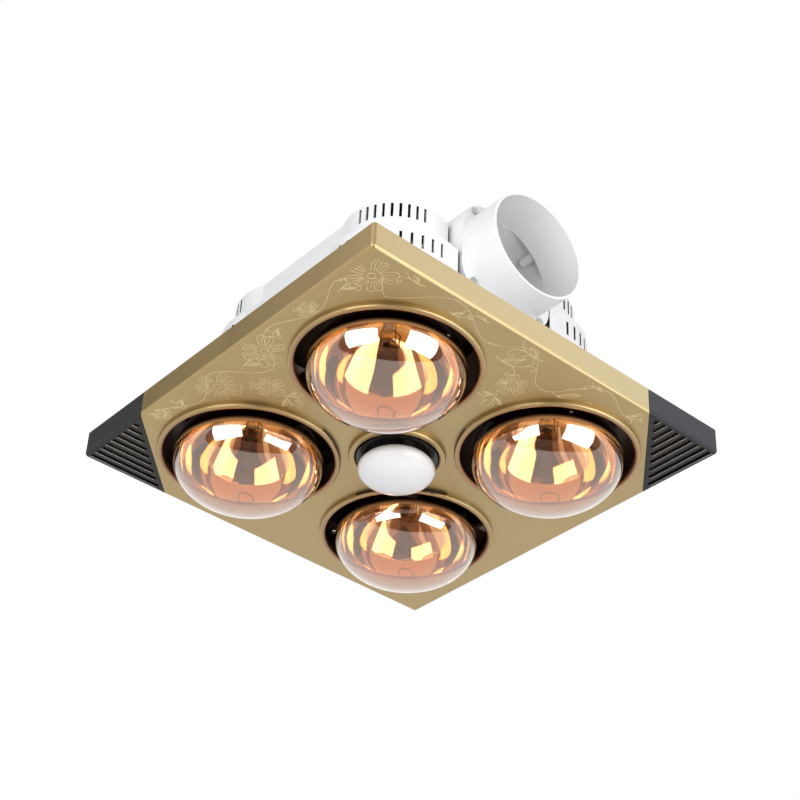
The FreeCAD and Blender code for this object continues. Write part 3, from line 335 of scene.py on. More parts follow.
def swing(tree, value, reach):
    """Turns noise from 0 to 1 into a swing of a reach to both sides of zero."""
    return maths(tree, "MULTIPLY", maths(tree, "MULTIPLY", maths(tree, "SUBTRACT", value, 0.5), 2.0), reach)


def noise(tree, scale, detail=3.0, stretch=None):
    """Noise over the object's own coordinates, drawn out along an axis if stretch is given."""
    place = add(tree, "ShaderNodeTexCoord").outputs["Object"]
    if stretch is not None:
        place = add(tree, "ShaderNodeMapping", {"Vector": place, "Scale": stretch}).outputs[0]
    made = add(tree, "ShaderNodeTexNoise", {"Vector": place, "Scale": scale, "Detail": detail})
    return made.outputs[0]


@shared_group("surface_drift", {"Color": (0.8, 0.8, 0.8, 1.0), "Shift": 0.05, "Roughness": 0.5,
                                "Spread": 0.05, "Scale": 20.0}, {"Color": tuple, "Roughness": float})
def drift_group(tree, source, sink):
    """Tone and gloss that wander slowly over a surface."""
    fineness = 4.0
    broad = noise(tree, source["Scale"])
    fine = noise(tree, maths(tree, "MULTIPLY", source["Scale"], fineness))
    value = maths(tree, "ADD", swing(tree, broad, source["Shift"]), 1.0)
    shade = add(tree, "ShaderNodeHueSaturation", {"Color": source["Color"], "Value": value})
    tree.links.new(shade.outputs[0], sink.inputs["Color"])
    gloss = maths(tree, "ADD", swing(tree, fine, source["Spread"]), source["Roughness"])
    tree.links.new(gloss, sink.inputs["Roughness"])


def noise_group(name, scale, **look):
    """A shared node group whose height is plain noise."""
    @shared_group(name, {"Scale": scale}, {"Height": float})
    def fill(tree, source, sink):
        tree.links.new(noise(tree, source["Scale"], **look), sink.inputs["Height"])
    return fill


# A moulded or painted skin, the lines that rolling leaves along X, and the slow waves of blown glass
grain_group = noise_group("fine_grain", 900.0, detail=2.0)
brush_group = noise_group("brushed_lines", 60.0, detail=4.0, stretch=(1.0, 40.0, 40.0))
ripple_group = noise_group("blown_ripple", 30.0, detail=1.0)


@shared_group("inner_shade_faces", {"Up": 1.0}, {"Mask": float})
def inner_shade_group(tree, source, sink):
    """A mask of the faces that look towards the lamp's axis or the side that up picks, where painted shade
    goes.
    """
    coords = add(tree, "ShaderNodeTexCoord").outputs
    place = add(tree, "ShaderNodeSeparateXYZ", {0: coords["Object"]}).outputs
    facing = add(tree, "ShaderNodeSeparateXYZ", {0: coords["Normal"]}).outputs
    across = maths(tree, "ADD", maths(tree, "MULTIPLY", place["X"], facing["X"]),
                   maths(tree, "MULTIPLY", place["Y"], facing["Y"]))
    least_inward, least_lidded = 0.03, 0.5
    inward = maths(tree, "LESS_THAN", across, -least_inward)
    lidded = maths(tree, "GREATER_THAN", maths(tree, "MULTIPLY", facing["Z"], source["Up"]), least_lidded)
    tree.links.new(maths(tree, "MAXIMUM", inward, lidded), sink.inputs["Mask"])


@shared_group("ring_bulb_reflection", {"Lamp": 0.0874, "Edge": 0.0716, "Fade": 0.0756}, {"Mask": float})
def ring_reflection_group(tree, source, sink):
    """A mask of painted reflection that grows towards the inner edges of the four lamp rings."""
    place = object_place(tree)
    aside = [maths(tree, "SUBTRACT", maths(tree, "ABSOLUTE", place[axis]), source["Lamp"]) for axis in "XY"]
    squares = [maths(tree, "MULTIPLY", part, part) for part in aside]
    reach = maths(tree, "SQRT", maths(tree, "ADD", *squares))
    fade = add(tree, "ShaderNodeMapRange", {"Value": reach, "From Min": source["Fade"],
                                            "From Max": source["Edge"]})
    tree.links.new(fade.outputs[0], sink.inputs["Mask"])


@shared_group("height_fade", {"Full": 0.0, "None": 0.01}, {"Mask": float})
def height_group(tree, source, sink):
    """A mask that fades from full at one height to nothing at another."""
    place = object_place(tree)
    fade = add(tree, "ShaderNodeMapRange", {"Value": place["Z"], "From Min": source["None"],
                                            "From Max": source["Full"]})
    tree.links.new(fade.outputs[0], sink.inputs["Mask"])


def place_group(tree, group, **values):
    """A node group in a material, with its own input values."""
    made = add(tree, "ShaderNodeGroup", node_tree=group)
    for key, value in values.items():
        made.inputs[key].default_value = value
    return made.outputs


def height_mask(tree, start, rise):
    """A mask that is full up to a height and fades over a rise."""
    return place_group(tree, height_group(), **{"Full": start, "None": start + rise})["Mask"]


def blank(**sockets):
    """A new material with plain values on its shader's sockets, its tree and its shader."""
    material = bpy.data.materials.new("finish")
    material.use_nodes = True
    shader = material.node_tree.nodes["Principled BSDF"]
    for key, value in sockets.items():
        shader.inputs[key.replace("_", " ")].default_value = value
    return material, material.node_tree, shader


def relief(tree, shader, height, depth):
    """Gives a shader bumps of a depth in metres."""
    bump = add(tree, "ShaderNodeBump", {"Height": height, "Strength": 1.0, "Distance": depth})
    tree.links.new(bump.outputs[0], shader.inputs["Normal"])


def drifting(tree, shader, tint, rough, spread, shift, scale):
    """Gives a shader a tone and a gloss that drift."""
    drift = place_group(tree, drift_group(), Color=(*tint, 1.0), Shift=shift, Roughness=rough,
                        Spread=spread, Scale=scale)
    tree.links.new(drift["Color"], shader.inputs["Base Color"])
    tree.links.new(drift["Roughness"], shader.inputs["Roughness"])


def finish(tint, rough, spread=0.06, shift=0.04, scale=20.0, grain=900.0, depth=0.00003, brushed=False,
           **sockets):
    """An opaque finish whose tone and gloss drift, over a moulded, painted or brushed skin."""
    material, tree, shader = blank(**sockets)
    drifting(tree, shader, tint, rough, spread, shift, scale)
    skin = place_group(tree, brush_group() if brushed else grain_group(), Scale=grain)
    relief(tree, shader, skin["Height"], depth)
    return material


def overlay(material, mask, tint):
    """Mixes a colour over a finish's own where a mask says."""
    tree = material.node_tree
    target = tree.nodes["Principled BSDF"].inputs["Base Color"]
    own = target.links[0].from_socket
    mixed = add(tree, "ShaderNodeMix", {"Factor": mask, "A": own, "B": (*tint, 1.0)}, data_type="RGBA")
    tree.links.new(mixed.outputs["Result"], target)


def once(make):
    """The material that a function makes, made and named after it on first use and shared after that."""
    known = bpy.data.materials.get(make.__name__)
    if known:
        return known
    material = make()
    material.name = make.__name__
    return material


# Finishes, each named for what it covers or for the painted shade, reflection or highlight it carries

def satin_gold():
    material = finish(colours().panel, rough=0.40, scale=9.0, shift=0.03, grain=2600.0,
                      depth=0.000012, Metallic=0.92, Coat_Weight=0.5, Coat_Roughness=0.18)
    tree = material.node_tree
    # Painted shade: the panel's unpainted inside and inner walls are darkened for the shade within the lamp
    overlay(material, place_group(tree, inner_shade_group(), Up=1.0)["Mask"], colours().inside)
    # Painted reflection of the gold bulbs, in copper towards the rings' inner edges
    heat = place_group(tree, ring_reflection_group(), Lamp=LAMP_AT)
    overlay(material, heat["Mask"], colours().bulb_reflection_tint)
    return material


def bright_cut_gold():
    return finish(colours().ornament, rough=0.34, grain=2000.0, depth=0.00001, Metallic=0.85)


def satin_black():
    return finish(colours().grille, rough=0.46, shift=0.08, grain=1500.0, depth=0.00003,
                  Specular_IOR_Level=0.3)


# Painted highlight for the slats' edges
def slat_highlight_paint():
    return finish(colours().slat_highlight, rough=0.30, grain=1200.0, depth=0.00001, Metallic=0.7)


def white_moulding():
    return finish(colours().housing, rough=0.38, shift=0.012, scale=14.0, grain=1300.0, depth=0.00002)


def housing_white_shaded():
    """White moulding with painted shade on its inner and downward faces, for the shade inside the lamp."""
    material = white_moulding()
    overlay(material, place_group(material.node_tree, inner_shade_group(), Up=-1.0)["Mask"], colours().inside)
    return material


def tungsten_wire():
    return finish(colours().tungsten, rough=0.35, shift=0.10, grain=900.0, depth=0.00001, Metallic=1.0)


def grey_moulding():
    return finish(colours().grey, rough=0.45, grain=1300.0)


def black_gloss():
    return finish(colours().collar, rough=0.14, spread=0.03, grain=700.0, depth=0.00001)


def zinc_plate():
    return finish(colours().zinc, rough=0.34, shift=0.09, scale=60.0, brushed=True, grain=60.0,
                  depth=0.00001, Metallic=0.95)


def sheet_aluminium():
    return finish(colours().aluminium, rough=0.30, brushed=True, grain=60.0, depth=0.00001, Metallic=1.0)


# Painted shade: steel inside the lamp darkened for the shade it sits in
def shade_darkened_steel():
    return finish(colours().shield, rough=0.42, shift=0.20, scale=30.0, brushed=True,
                  grain=60.0, depth=0.00001, Metallic=0.9)


def cap_brass():
    return finish(colours().brass, rough=0.28, shift=0.08, grain=1500.0, depth=0.00001, Metallic=1.0)


def glazed_ceramic():
    return finish(colours().ceramic, rough=0.22, shift=0.03, grain=500.0, Coat_Weight=0.6)


def black_rubber():
    return finish(colours().rubber, rough=0.75, shift=0.12, grain=1600.0, depth=0.00005)


def motor_paint():
    return finish(colours().motor, rough=0.40, grain=1100.0, depth=0.00004, Metallic=0.2)


def opal_lens():
    return finish(colours().lens, rough=0.20, spread=0.02, shift=0.01, grain=400.0, depth=0.000008,
                  Subsurface_Weight=0.25, Subsurface_Radius=(0.006, 0.006, 0.006), Coat_Weight=0.3)


def stem_glass():
    return finish(colours().stem, rough=0.16, shift=0.05, grain=600.0, depth=0.00001,
                  Specular_IOR_Level=0.8)


def card_black():
    return finish(colours().card, rough=0.9, grain=40.0)


def room_wall():
    return finish(colours().wall, rough=0.9, grain=40.0)


def pale_floor():
    return finish(colours().floor, rough=0.8, shift=0.01, scale=2.0, grain=60.0)


def gold_mirror():
    """The vacuum-coated gold inside a bulb."""
    material, tree, shader = blank(Metallic=1.0)
    drifting(tree, shader, colours().mirror, rough=0.045, spread=0.012, shift=0.03, scale=24.0)
    relief(tree, shader, place_group(tree, ripple_group(), Scale=34.0)["Height"], depth=0.00025)
    return material


def flank_gold():
    """The outer face of a bulb's coat: a dark base that is painted reflection of the lamp's dark inside,
    and a bright copper band at the widest ring that is a painted glint.
    """
    material = finish(colours().flank, rough=0.16, spread=0.03, shift=0.06, scale=40.0, grain=600.0,
                      depth=0.00001, Coat_Weight=1.0)
    tree = material.node_tree
    # Painted glint band at the widest ring, made less metallic so the softboxes light it
    edge = height_mask(tree, BULB_TIP + sizes().bulb_front, sizes().flank_glint)
    overlay(material, edge, colours().flank_glint)
    shine_lost = 0.7
    bare = maths(tree, "SUBTRACT", 1.0, maths(tree, "MULTIPLY", edge, shine_lost))
    tree.links.new(bare, tree.nodes["Principled BSDF"].inputs["Metallic"])
    return material


def bulb_front_glass():
    """Blown glass with a hard, bright outer face, warmer towards a bulb's tip."""
    material, tree, shader = blank(Transmission_Weight=1.0, IOR=1.6, Coat_Weight=1.0, Coat_IOR=1.8,
                                   Coat_Roughness=0.01, Specular_Tint=(*colours().glass_sheen, 1.0))
    drifting(tree, shader, colours().glass, rough=0.008, spread=0.004, shift=0.01, scale=24.0)
    overlay(material, height_mask(tree, BULB_TIP, sizes().warm_tip), colours().glass_tip)
    relief(tree, shader, place_group(tree, ripple_group(), Scale=22.0)["Height"], depth=0.0002)
    return material


# Mesh building

def new_object(name, data):
    """An object in the scene."""
    made = bpy.data.objects.new(name, data)
    bpy.context.scene.collection.objects.link(made)
    return made


def new_mesh(name, shape):
    """A mesh from a worked-up shape, which is used up."""
    mesh = bpy.data.meshes.new(name)
    shape.to_mesh(mesh)
    shape.free()
    return mesh


def new_piece(name, mesh, material, body=ROOT):
    """An object from a mesh, in one material, riding on a body."""
    piece = new_object(name, mesh)
    mesh.materials.append(material)
    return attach(piece, body)


def paint(material, *names):
    """Puts a material on CAD nodes."""
    for name in names:
        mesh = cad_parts[name].data
        if not mesh.materials:
            mesh.materials.append(material)
        for spot in range(len(mesh.materials)):
            mesh.materials[spot] = material


def bridge_rings(shape, low, high):
    """Faces between two rings of points, either of which may be a single pole."""
    for k in range(max(len(low), len(high))):
        spots = ((low, k), (low, k + 1), (high, k + 1), (high, k))
        corners = [ring[spot % len(ring)] for ring, spot in spots]
        shape.faces.new(list(dict.fromkeys(corners)))


def turned_mesh(name, outline, x, y, closed):
    """A (radius, height) outline turned round the upright line through (x, y)."""
    count = sizes().turns
    shape = bmesh.new()
    rings = []
    for radius, height in outline:
        sides = count if radius > 0 else 1
        spots = [2 * math.pi * k / sides for k in range(sides)]
        rings.append([shape.verts.new((x + radius * math.cos(t), y + radius * math.sin(t), height))
                      for t in spots])
    follow = rings[1:] + rings[:1] if closed else rings[1:]
    for low, high in zip(rings, follow):
        bridge_rings(shape, low, high)
    bmesh.ops.recalc_face_normals(shape, faces=shape.faces)
    mesh = new_mesh(name, shape)
    mesh.shade_smooth()
    mesh.set_sharp_from_angle(angle=CREASE)
    return mesh


def turned_piece(name, outline, x, y, material, body=ROOT, closed=False):
    """A piece turned from an outline."""
    return new_piece(name, turned_mesh(name, outline, x, y, closed), material, body)


def coat_above(piece, height, material):
    """Puts a second material on a piece's faces above a height."""
    piece.data.materials.append(material)
    for face in piece.data.polygons:
        face.material_index = int(face.center.z > height)


def dome(wide, deep, height, sweep=math.pi / 2):
    """Points of an ellipse from its lowest point on the axis, swept round by an angle."""
    count = sizes().steps
    turns = [sweep * k / count for k in range(count + 1)]
    return [(wide * math.sin(t) if t else 0.0, height - deep * math.cos(t)) for t in turns]


def flank(wide, neck, low, high, rise):
    """Points of a bulb's flank from its widest ring towards its neck, up to rise."""
    count = sizes().steps
    points = []
    for k in range(count + 1):
        height = low + (rise - low) * k / count
        swell = (1 + math.cos(math.pi * (height - low) / (high - low))) / 2
        points.append((neck + (wide - neck) * swell, height))
    return points


def out_and_back(half, outer, inner):
    """The outline along a wall's outer face and back along its inner one, each with its own trim."""
    return half(outer) + half(inner)[::-1]


def tubes(name, strokes, width, material, body=ROOT):
    """Strokes in space as fine round wires, in one mesh piece."""
    path = bpy.data.curves.new(name, "CURVE")
    path.dimensions = "3D"
    path.bevel_depth = width / 2
    path.bevel_resolution = 1
    path.use_fill_caps = True
    for stroke in strokes:
        line = path.splines.new("POLY")
        line.points.add(len(stroke) - 1)
        for point, place in zip(line.points, stroke):
            point.co = (*place, 1.0)
    holder = bpy.data.objects.new(name + "_path", path)
    mesh = bpy.data.meshes.new_from_object(holder)
    bpy.data.objects.remove(holder)
    bpy.data.curves.remove(path)
    mesh.name = name
    mesh.materials.clear()
    mesh.shade_smooth()
    return new_piece(name, mesh, material, body)


def at_height(strokes, height):
    """Flat strokes lifted to a height."""
    return [[(x, y, height) for x, y in stroke] for stroke in strokes]


# Ornament strokes, drawn about the origin at unit size

def placed(stroke, x, y, turn, size, hand=1):
    """A stroke scaled, mirrored for a left hand, turned and moved on the panel."""
    c, s = size * math.cos(turn), size * math.sin(turn)
    return [(x + c * u - s * v * hand, y + s * u + c * v * hand) for u, v in stroke]


def scroll(rounds):
    """A stem that sets off along +u and winds up ever tighter, about 1 from end to end."""
    steps = 44
    tightening, slowing, reach = 1.6, 1.12, 2.6
    u = v = 0.0
    stroke = [(u, v)]
    for k in range(steps):
        part = (k + 0.5) / steps
        turn = 2 * math.pi * rounds * part ** tightening
        pace = reach * (slowing - part) / steps
        u += pace * math.cos(turn)
        v += pace * math.sin(turn)
        stroke.append((u, v))
    return stroke


def petal():
    """The notched outer line of a petal that reaches 1 along +u."""
    steps = 16
    foot, swell, half_width = 0.30, 0.70, 0.56
    notch, notch_sharpness = 0.14, 16
    stroke = []
    for k in range(steps + 1):
        t = 2 * k / steps - 1
        reach = foot + swell * (1 - t ** 4) - notch * math.exp(-notch_sharpness * t * t)
        stroke.append((reach * math.cos(half_width * t), reach * math.sin(half_width * t)))
    return stroke


def flower():
    """Five veined petals round a small eye."""
    petals, shorter = 5, 0.12
    eye, eye_sides = 0.15, 12
    vein_turn, vein_start, vein_end = 0.22, 0.30, 0.72
    vein_drop, vein_play = 0.9, 0.06
    around = [2 * math.pi * k / eye_sides for k in range(eye_sides + 1)]
    strokes = [[(eye * math.cos(t), eye * math.sin(t)) for t in around]]
    for k in range(petals):
        turn = 2 * math.pi * k / petals
        strokes.append(placed(petal(), 0, 0, turn, 1.0 - shorter * (k % 2)))
        for vein in (-vein_turn, 0.0, vein_turn):
            tip = vein_end - vein_drop * vein * vein + vein_play * (k % 3)
            c, s = math.cos(turn + vein), math.sin(turn + vein)
            strokes.append([(vein_start * c, vein_start * s), (tip * c, tip * s)])
    return strokes


def leaf():
    """A bent, pointed leaf with a midrib and slanted veins on one side."""
    steps = 10
    bend, left, right = 0.22, 0.20, 0.17
    veins, first_vein, vein_step, slant = 5, 0.2, 0.12, 0.10
    spots = [k / steps for k in range(steps + 1)]
    strokes = []
    for side in (left, -right, 0.0):
        strokes.append([(t, bend * t * t + side * math.sin(math.pi * t)) for t in spots])
    for t in [first_vein + vein_step * k for k in range(veins)]:
        strokes.append([(t, bend * t * t), (t + slant, bend * t * t + right * math.sin(math.pi * t))])
    return strokes


def branch(x, y, turn, size, hand):
    """A winding stem with smaller ones and a leaf off its back."""
    rounds, parting = 1.3, 0.35
    leaf_at, leaf_turn, leaf_size = 3, 0.8, 0.46
    main = placed(scroll(rounds), x, y, turn, size, hand)
    strokes = [main]
    for part, share in ((7, 0.46), (14, 0.30)):
        (u, v), (s, t) = main[part], main[part + 1]
        way = math.atan2(t - v, s - u) - parting * hand
        strokes.append(placed(scroll(rounds), u, v, way, share * size, -hand))
    u, v = main[leaf_at]
    strokes += [placed(shape, u, v, turn + leaf_turn * hand, leaf_size * size, hand) for shape in leaf()]
    return strokes


def strip_room(along):
    """Width for a motif between the panel's side and the lamp rings, at a place along that side."""
    ring = sizes().lamp_ring
    aside = min(abs(abs(along) - LAMP_AT), ring)
    free = PANEL_HALF - LAMP_AT - math.sqrt(ring * ring - aside * aside)
    return min(free, sizes().motif_room)


def front_side(along, inset):
    """A place on the side towards -Y, and the way that looks inwards from it."""
    return along, inset - PANEL_HALF, math.pi / 2


def duct_side(along, inset):
    """A place on the side towards +X, and the way that looks inwards from it."""
    return PANEL_HALF - inset, along, math.pi


def on_free_face(x, y):
    """Whether a place is on the flat of the panel, clear of its edge, its rings and its grilles."""
    values = sizes()
    inner = max(abs(x), abs(y)) < PANEL_HALF - values.line_margin
    clear = math.hypot(abs(x) - LAMP_AT, abs(y) - LAMP_AT) > values.lamp_ring + values.line_margin / 2
    return inner and clear and abs(x + y) < values.joint * math.sqrt(2) - values.line_margin


def trimmed(strokes):
    """The first stretch of each stroke that lies on the free face."""
    kept = []
    for stroke in strokes:
        free = [on_free_face(*place) for place in stroke]
        if True not in free:
            continue
        start = free.index(True)
        end = free.index(False, start) if False in free[start:] else len(free)
        if end - start > 1:
            kept.append(stroke[start:end])
    return kept


def vine(side, first, last):
    """A long stem that waves along a side of the panel."""
    steps = 120
    middle, sway = 0.5, 0.34
    stroke = []
    for k in range(steps + 1):
        along = first + (last - first) * k / steps
        room = strip_room(along)
        stroke.append(side(along, room * (middle + sway * math.sin(along / sizes().vine_wave)))[:2])
    return stroke


def flower_row(side, first, pace, count):
    """Flowers along a side, with a leafy branch between one and the next."""
    middle, flower_turn, flower_size = 0.46, 0.4, 0.46
    branch_turn, branch_size = 1.9, 0.62
    strokes = []
    for k in range(count):
        along = first + pace * k
        room = strip_room(along)
        x, y, inward = side(along, middle * room)
        hand = (-1) ** (k // 2)
        if k % 2:
            strokes += branch(x, y, inward + branch_turn * hand, branch_size * room, -hand)
        else:
            turn, size = inward + flower_turn * k, flower_size * room
            strokes += [placed(shape, x, y, turn, size) for shape in flower()]
    return strokes


def branch_row(side, first, pace, count):
    """Branches of both hands along a side."""
    middle, aside, branch_turn, branch_size = 0.5, 0.25, 1.35, 0.85
    strokes = []
    for k in range(count):
        along = first + pace * k
        room = strip_room(along)
        hand = (-1) ** k
        x, y, inward = side(along, (middle - aside * hand) * room)
        strokes += branch(x, y, inward + branch_turn * hand, branch_size * room, hand)
    return strokes


def spray(x, y, turn, size, hand):
    """Two unequal branches and a flower from one foot."""
    long_turn, short_turn, short_size = 0.2, 0.3, 0.75
    flower_back, flower_size = 0.6, 0.55
    strokes = branch(x, y, turn + long_turn * hand, size, hand)
    strokes += branch(x, y, turn - short_turn * hand, short_size * size, -hand)
    back = flower_back * size
    u, v = x - back * math.cos(turn), y - back * math.sin(turn)
    return strokes + [placed(shape, u, v, turn, flower_size * size) for shape in flower()]


class PieceOperator:
    """What the operators that make pieces share."""
    bl_options = {"REGISTER"}


class HEATLAMP_OT_panel(PieceOperator, bpy.types.Operator):
    """Paint the face panel and cut its ornament"""
    bl_idname = "heatlamp.panel"
    bl_label = "Face Panel"

    def execute(self, context):
        paint(once(satin_gold), "face_panel")
        paint(once(shade_darkened_steel), "panel_clips")
        paint(once(zinc_plate), "grille_nuts")
        values = sizes()
        first, last = values.row_start - PANEL_HALF, PANEL_HALF - values.row_end
        pace = (last - first) / values.motifs
        strokes = [vine(front_side, first, last), vine(duct_side, -last, -first)]
        strokes += flower_row(front_side, first, pace, values.motifs + 1)
        strokes += branch_row(duct_side, pace - last, pace, values.motifs)
        for side, hand in ((front_side, 1), (duct_side, -1)):
            strokes += spray(*side(0.0, values.spray_inset), values.spray_size, hand)
        strokes = trimmed(strokes)
        ornament = tubes("panel_ornament", at_height(strokes, FACE_Z + values.line_sunk), values.line,
                         once(bright_cut_gold))
        return {"FINISHED"}


class HEATLAMP_OT_grilles(PieceOperator, bpy.types.Operator):
    """Finish the corner grilles and paint highlights along the edges of their slats"""
    bl_idname = "heatlamp.grilles"
    bl_label = "Corner Grilles"

    def slot_edges(self):
        """One edge of each slot of the left grille."""
        values = sizes()
        low = values.slot_end - PANEL_HALF
        first = values.slot_inset - PANEL_HALF
        longest = -values.joint * math.sqrt(2) - first - values.slot_end - values.slot_width / 2 - low
        count = 1 + math.floor((longest - values.slot_least) / values.slot_pitch)
        edges = []
        for k in range(count):
            step = k * values.slot_pitch
            x = first + step - values.slot_width / 2
            edges.append([(x, low), (x, low + longest - step)])
        return edges

    def execute(self, context):
        paint(once(satin_black), "grille_left", "grille_right")
        left = self.slot_edges()
        right = [[(-y, -x) for x, y in edge] for edge in left]
        # The pale tubes along the slot edges are painted highlights
        for name, edges in (("left", left), ("right", right)):
            trim = tubes("slat_edges_" + name, at_height(edges, FACE_Z), sizes().slat_highlight_width,
                         once(slat_highlight_paint))
        return {"FINISHED"}


class HEATLAMP_OT_bulbs(PieceOperator, bpy.types.Operator):
    """Blow the four bulbs, coat their mirrors and finish their caps and holders"""
    bl_idname = "heatlamp.bulbs"
    bl_label = "Bulbs"

    def glass_outline(self, low, high, radius):
        """The outline of the glass from its outer tip over its neck to its inner tip."""
        values = sizes()
        equator = low + values.bulb_front

        def half(trim):
            wide, deep, neck = radius - trim, values.bulb_front - trim, values.bulb_neck - trim
            return dome(wide, deep, equator)[:-1] + flank(wide, neck, equator, high, high)
        return out_and_back(half, 0.0, values.glass_wall)

    def mirror_outline(self, low, high, radius):
        """The closed outline of the mirror coat inside the flank."""
        values = sizes()
        equator = low + values.bulb_front
        outer = values.glass_wall + values.mirror_gap

        def half(trim):
            return flank(radius - trim, values.bulb_neck - trim, equator, high, high - values.mirror_end)
        return out_and_back(half, outer, outer + values.mirror_wall)

    def stem_outline(self, high):
        """The outline of the glass stem from its lower end to its flared foot."""
        values = sizes()
        radius, low = values.stem_radius, values.stem_low
        tip = [(r, h + low + radius) for r, h in dome(radius, radius, 0.0)]
        return tip + [(radius, high - values.stem_flare), (values.stem_foot, high), (0.0, high)]

    def coil_strokes(self, x, y):
        """The wound arch of the filament."""
        values = sizes()
        steps = values.turn_steps * values.coil_turns
        stroke = []
        for k in range(steps + 1):
            arch = math.pi * k / steps
            twist = 2 * math.pi * values.coil_turns * k / steps
            reach = values.coil_at + values.coil_radius * math.cos(twist)
            stroke.append((x + reach * math.cos(arch), y + values.coil_radius * math.sin(twist),
                           -values.coil_drop - reach * math.sin(arch)))
        return [stroke]

    def lead_strokes(self, x, y):
        """The two wires from the stem to the ends of the arch."""
        values = sizes()
        knee = values.stem_low + values.coil_at
        strokes = []
        for side in (-1, 1):
            reach = side * values.coil_at
            strokes.append([(x + reach, y, -values.coil_drop), (x + reach, y, values.stem_low),
                            (x + reach / 3, y, knee)])
        return strokes

    def inner_parts(self, lamp, x, y, high):
        """The stem, the leads and the filament of one bulb."""
        values = sizes()
        body = "bulb_" + lamp
        stem = turned_piece("bulb_stem_" + lamp, self.stem_outline(high), x, y, once(stem_glass), body)
        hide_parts("bulb_filament_" + lamp)
        for name, strokes, wire in (("bulb_coil_", self.coil_strokes(x, y), values.coil_wire),
                                    ("bulb_leads_", self.lead_strokes(x, y), values.lead_wire)):
            tubes(name + lamp, strokes, wire, once(tungsten_wire), body)

    def execute(self, context):
        for lamp in LAMPS:
            low, high = BULB_BOXES[lamp]
            x, y = (low.x + high.x) / 2, (low.y + high.y) / 2
            radius = (high.x - low.x) / 2
            body = "bulb_" + lamp
            wall = self.glass_outline(low.z, high.z, radius)
            envelope = turned_piece("bulb_envelope_" + lamp, wall, x, y, once(bulb_front_glass), body)
            coat_above(envelope, low.z + sizes().bulb_front, once(flank_gold))
            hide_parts("bulb_glass_" + lamp)
            coat = self.mirror_outline(low.z, high.z, radius)
            mirror = turned_piece("bulb_mirror_" + lamp, coat, x, y, once(gold_mirror), body, closed=True)
            self.inner_parts(lamp, x, y, high.z)
            paint(once(cap_brass), "bulb_cap_" + lamp)
            paint(once(stem_glass), "bulb_filament_" + lamp)
            paint(once(glazed_ceramic), "lamp_holder_" + lamp)
            paint(once(shade_darkened_steel), "holder_bracket_" + lamp)
        paint(once(zinc_plate), "bracket_screws", "holder_screws")
        return {"FINISHED"}


class HEATLAMP_OT_centre_light(PieceOperator, bpy.types.Operator):
    """Mould the opal lens and finish the rest of the centre light"""
    bl_idname = "heatlamp.centre_light"
    bl_label = "Centre Light"

    def outline(self, low, high):
        """The lens from its outer tip over its neck to its inner tip."""
        values = sizes()
        middle = low + values.lens_half

        def half(trim):
            wide, neck = values.lens_radius - trim, values.lens_neck - trim
            sweep = math.pi - math.asin(neck / wide)
            return dome(wide, values.lens_half - trim, middle, sweep) + [(neck, high)]
        return out_and_back(half, 0.0, values.lens_wall)

    def execute(self, context):
        low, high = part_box("light_lens")
        lens = turned_piece("light_dome", self.outline(low.z, high.z), 0.0, 0.0, once(opal_lens))
        # Painted shade: the lens above this height is black for the collar's shadow
        coat_above(lens, low.z + sizes().lens_shade_start, once(black_gloss))
        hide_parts("light_lens")
        paint(once(black_gloss), "light_collar")
        paint(once(sheet_aluminium), "light_cup")
        paint(once(shade_darkened_steel), "light_bridge")
        paint(once(zinc_plate), "light_screws")
        paint(once(grey_moulding), "light_driver")
        paint(once(white_moulding), "light_board")
        return {"FINISHED"}


class HEATLAMP_OT_housing(PieceOperator, bpy.types.Operator):
    """Finish the housing, its heat shield and its wiring box"""
    bl_idname = "heatlamp.housing"
    bl_label = "Housing and Wiring"

    def execute(self, context):
        paint(once(housing_white_shaded), "housing")
        paint(once(white_moulding), "terminal_block")
        paint(once(shade_darkened_steel), "heat_shield")
        paint(once(grey_moulding), "terminal_box", "terminal_cover")
        paint(once(satin_black), "cable_gland", "gland_nut")
        paint(once(black_rubber), "wire_grommet")
        paint(once(zinc_plate), "shield_screws", "box_screws", "cover_screws")
        return {"FINISHED"}


class HEATLAMP_OT_fan(PieceOperator, bpy.types.Operator):
    """Finish the fan, its motor and the duct collar"""
    bl_idname = "heatlamp.fan"
    bl_label = "Fan and Duct"

    def execute(self, context):
        paint(once(white_moulding), "fan_scroll", "duct_collar")
        paint(once(grey_moulding), "impeller")
        paint(once(motor_paint), "motor")
        paint(once(cap_brass), "impeller_nut")
        paint(once(zinc_plate), "motor_shaft", "motor_screws", "scroll_screws", "collar_screws")
        return {"FINISHED"}


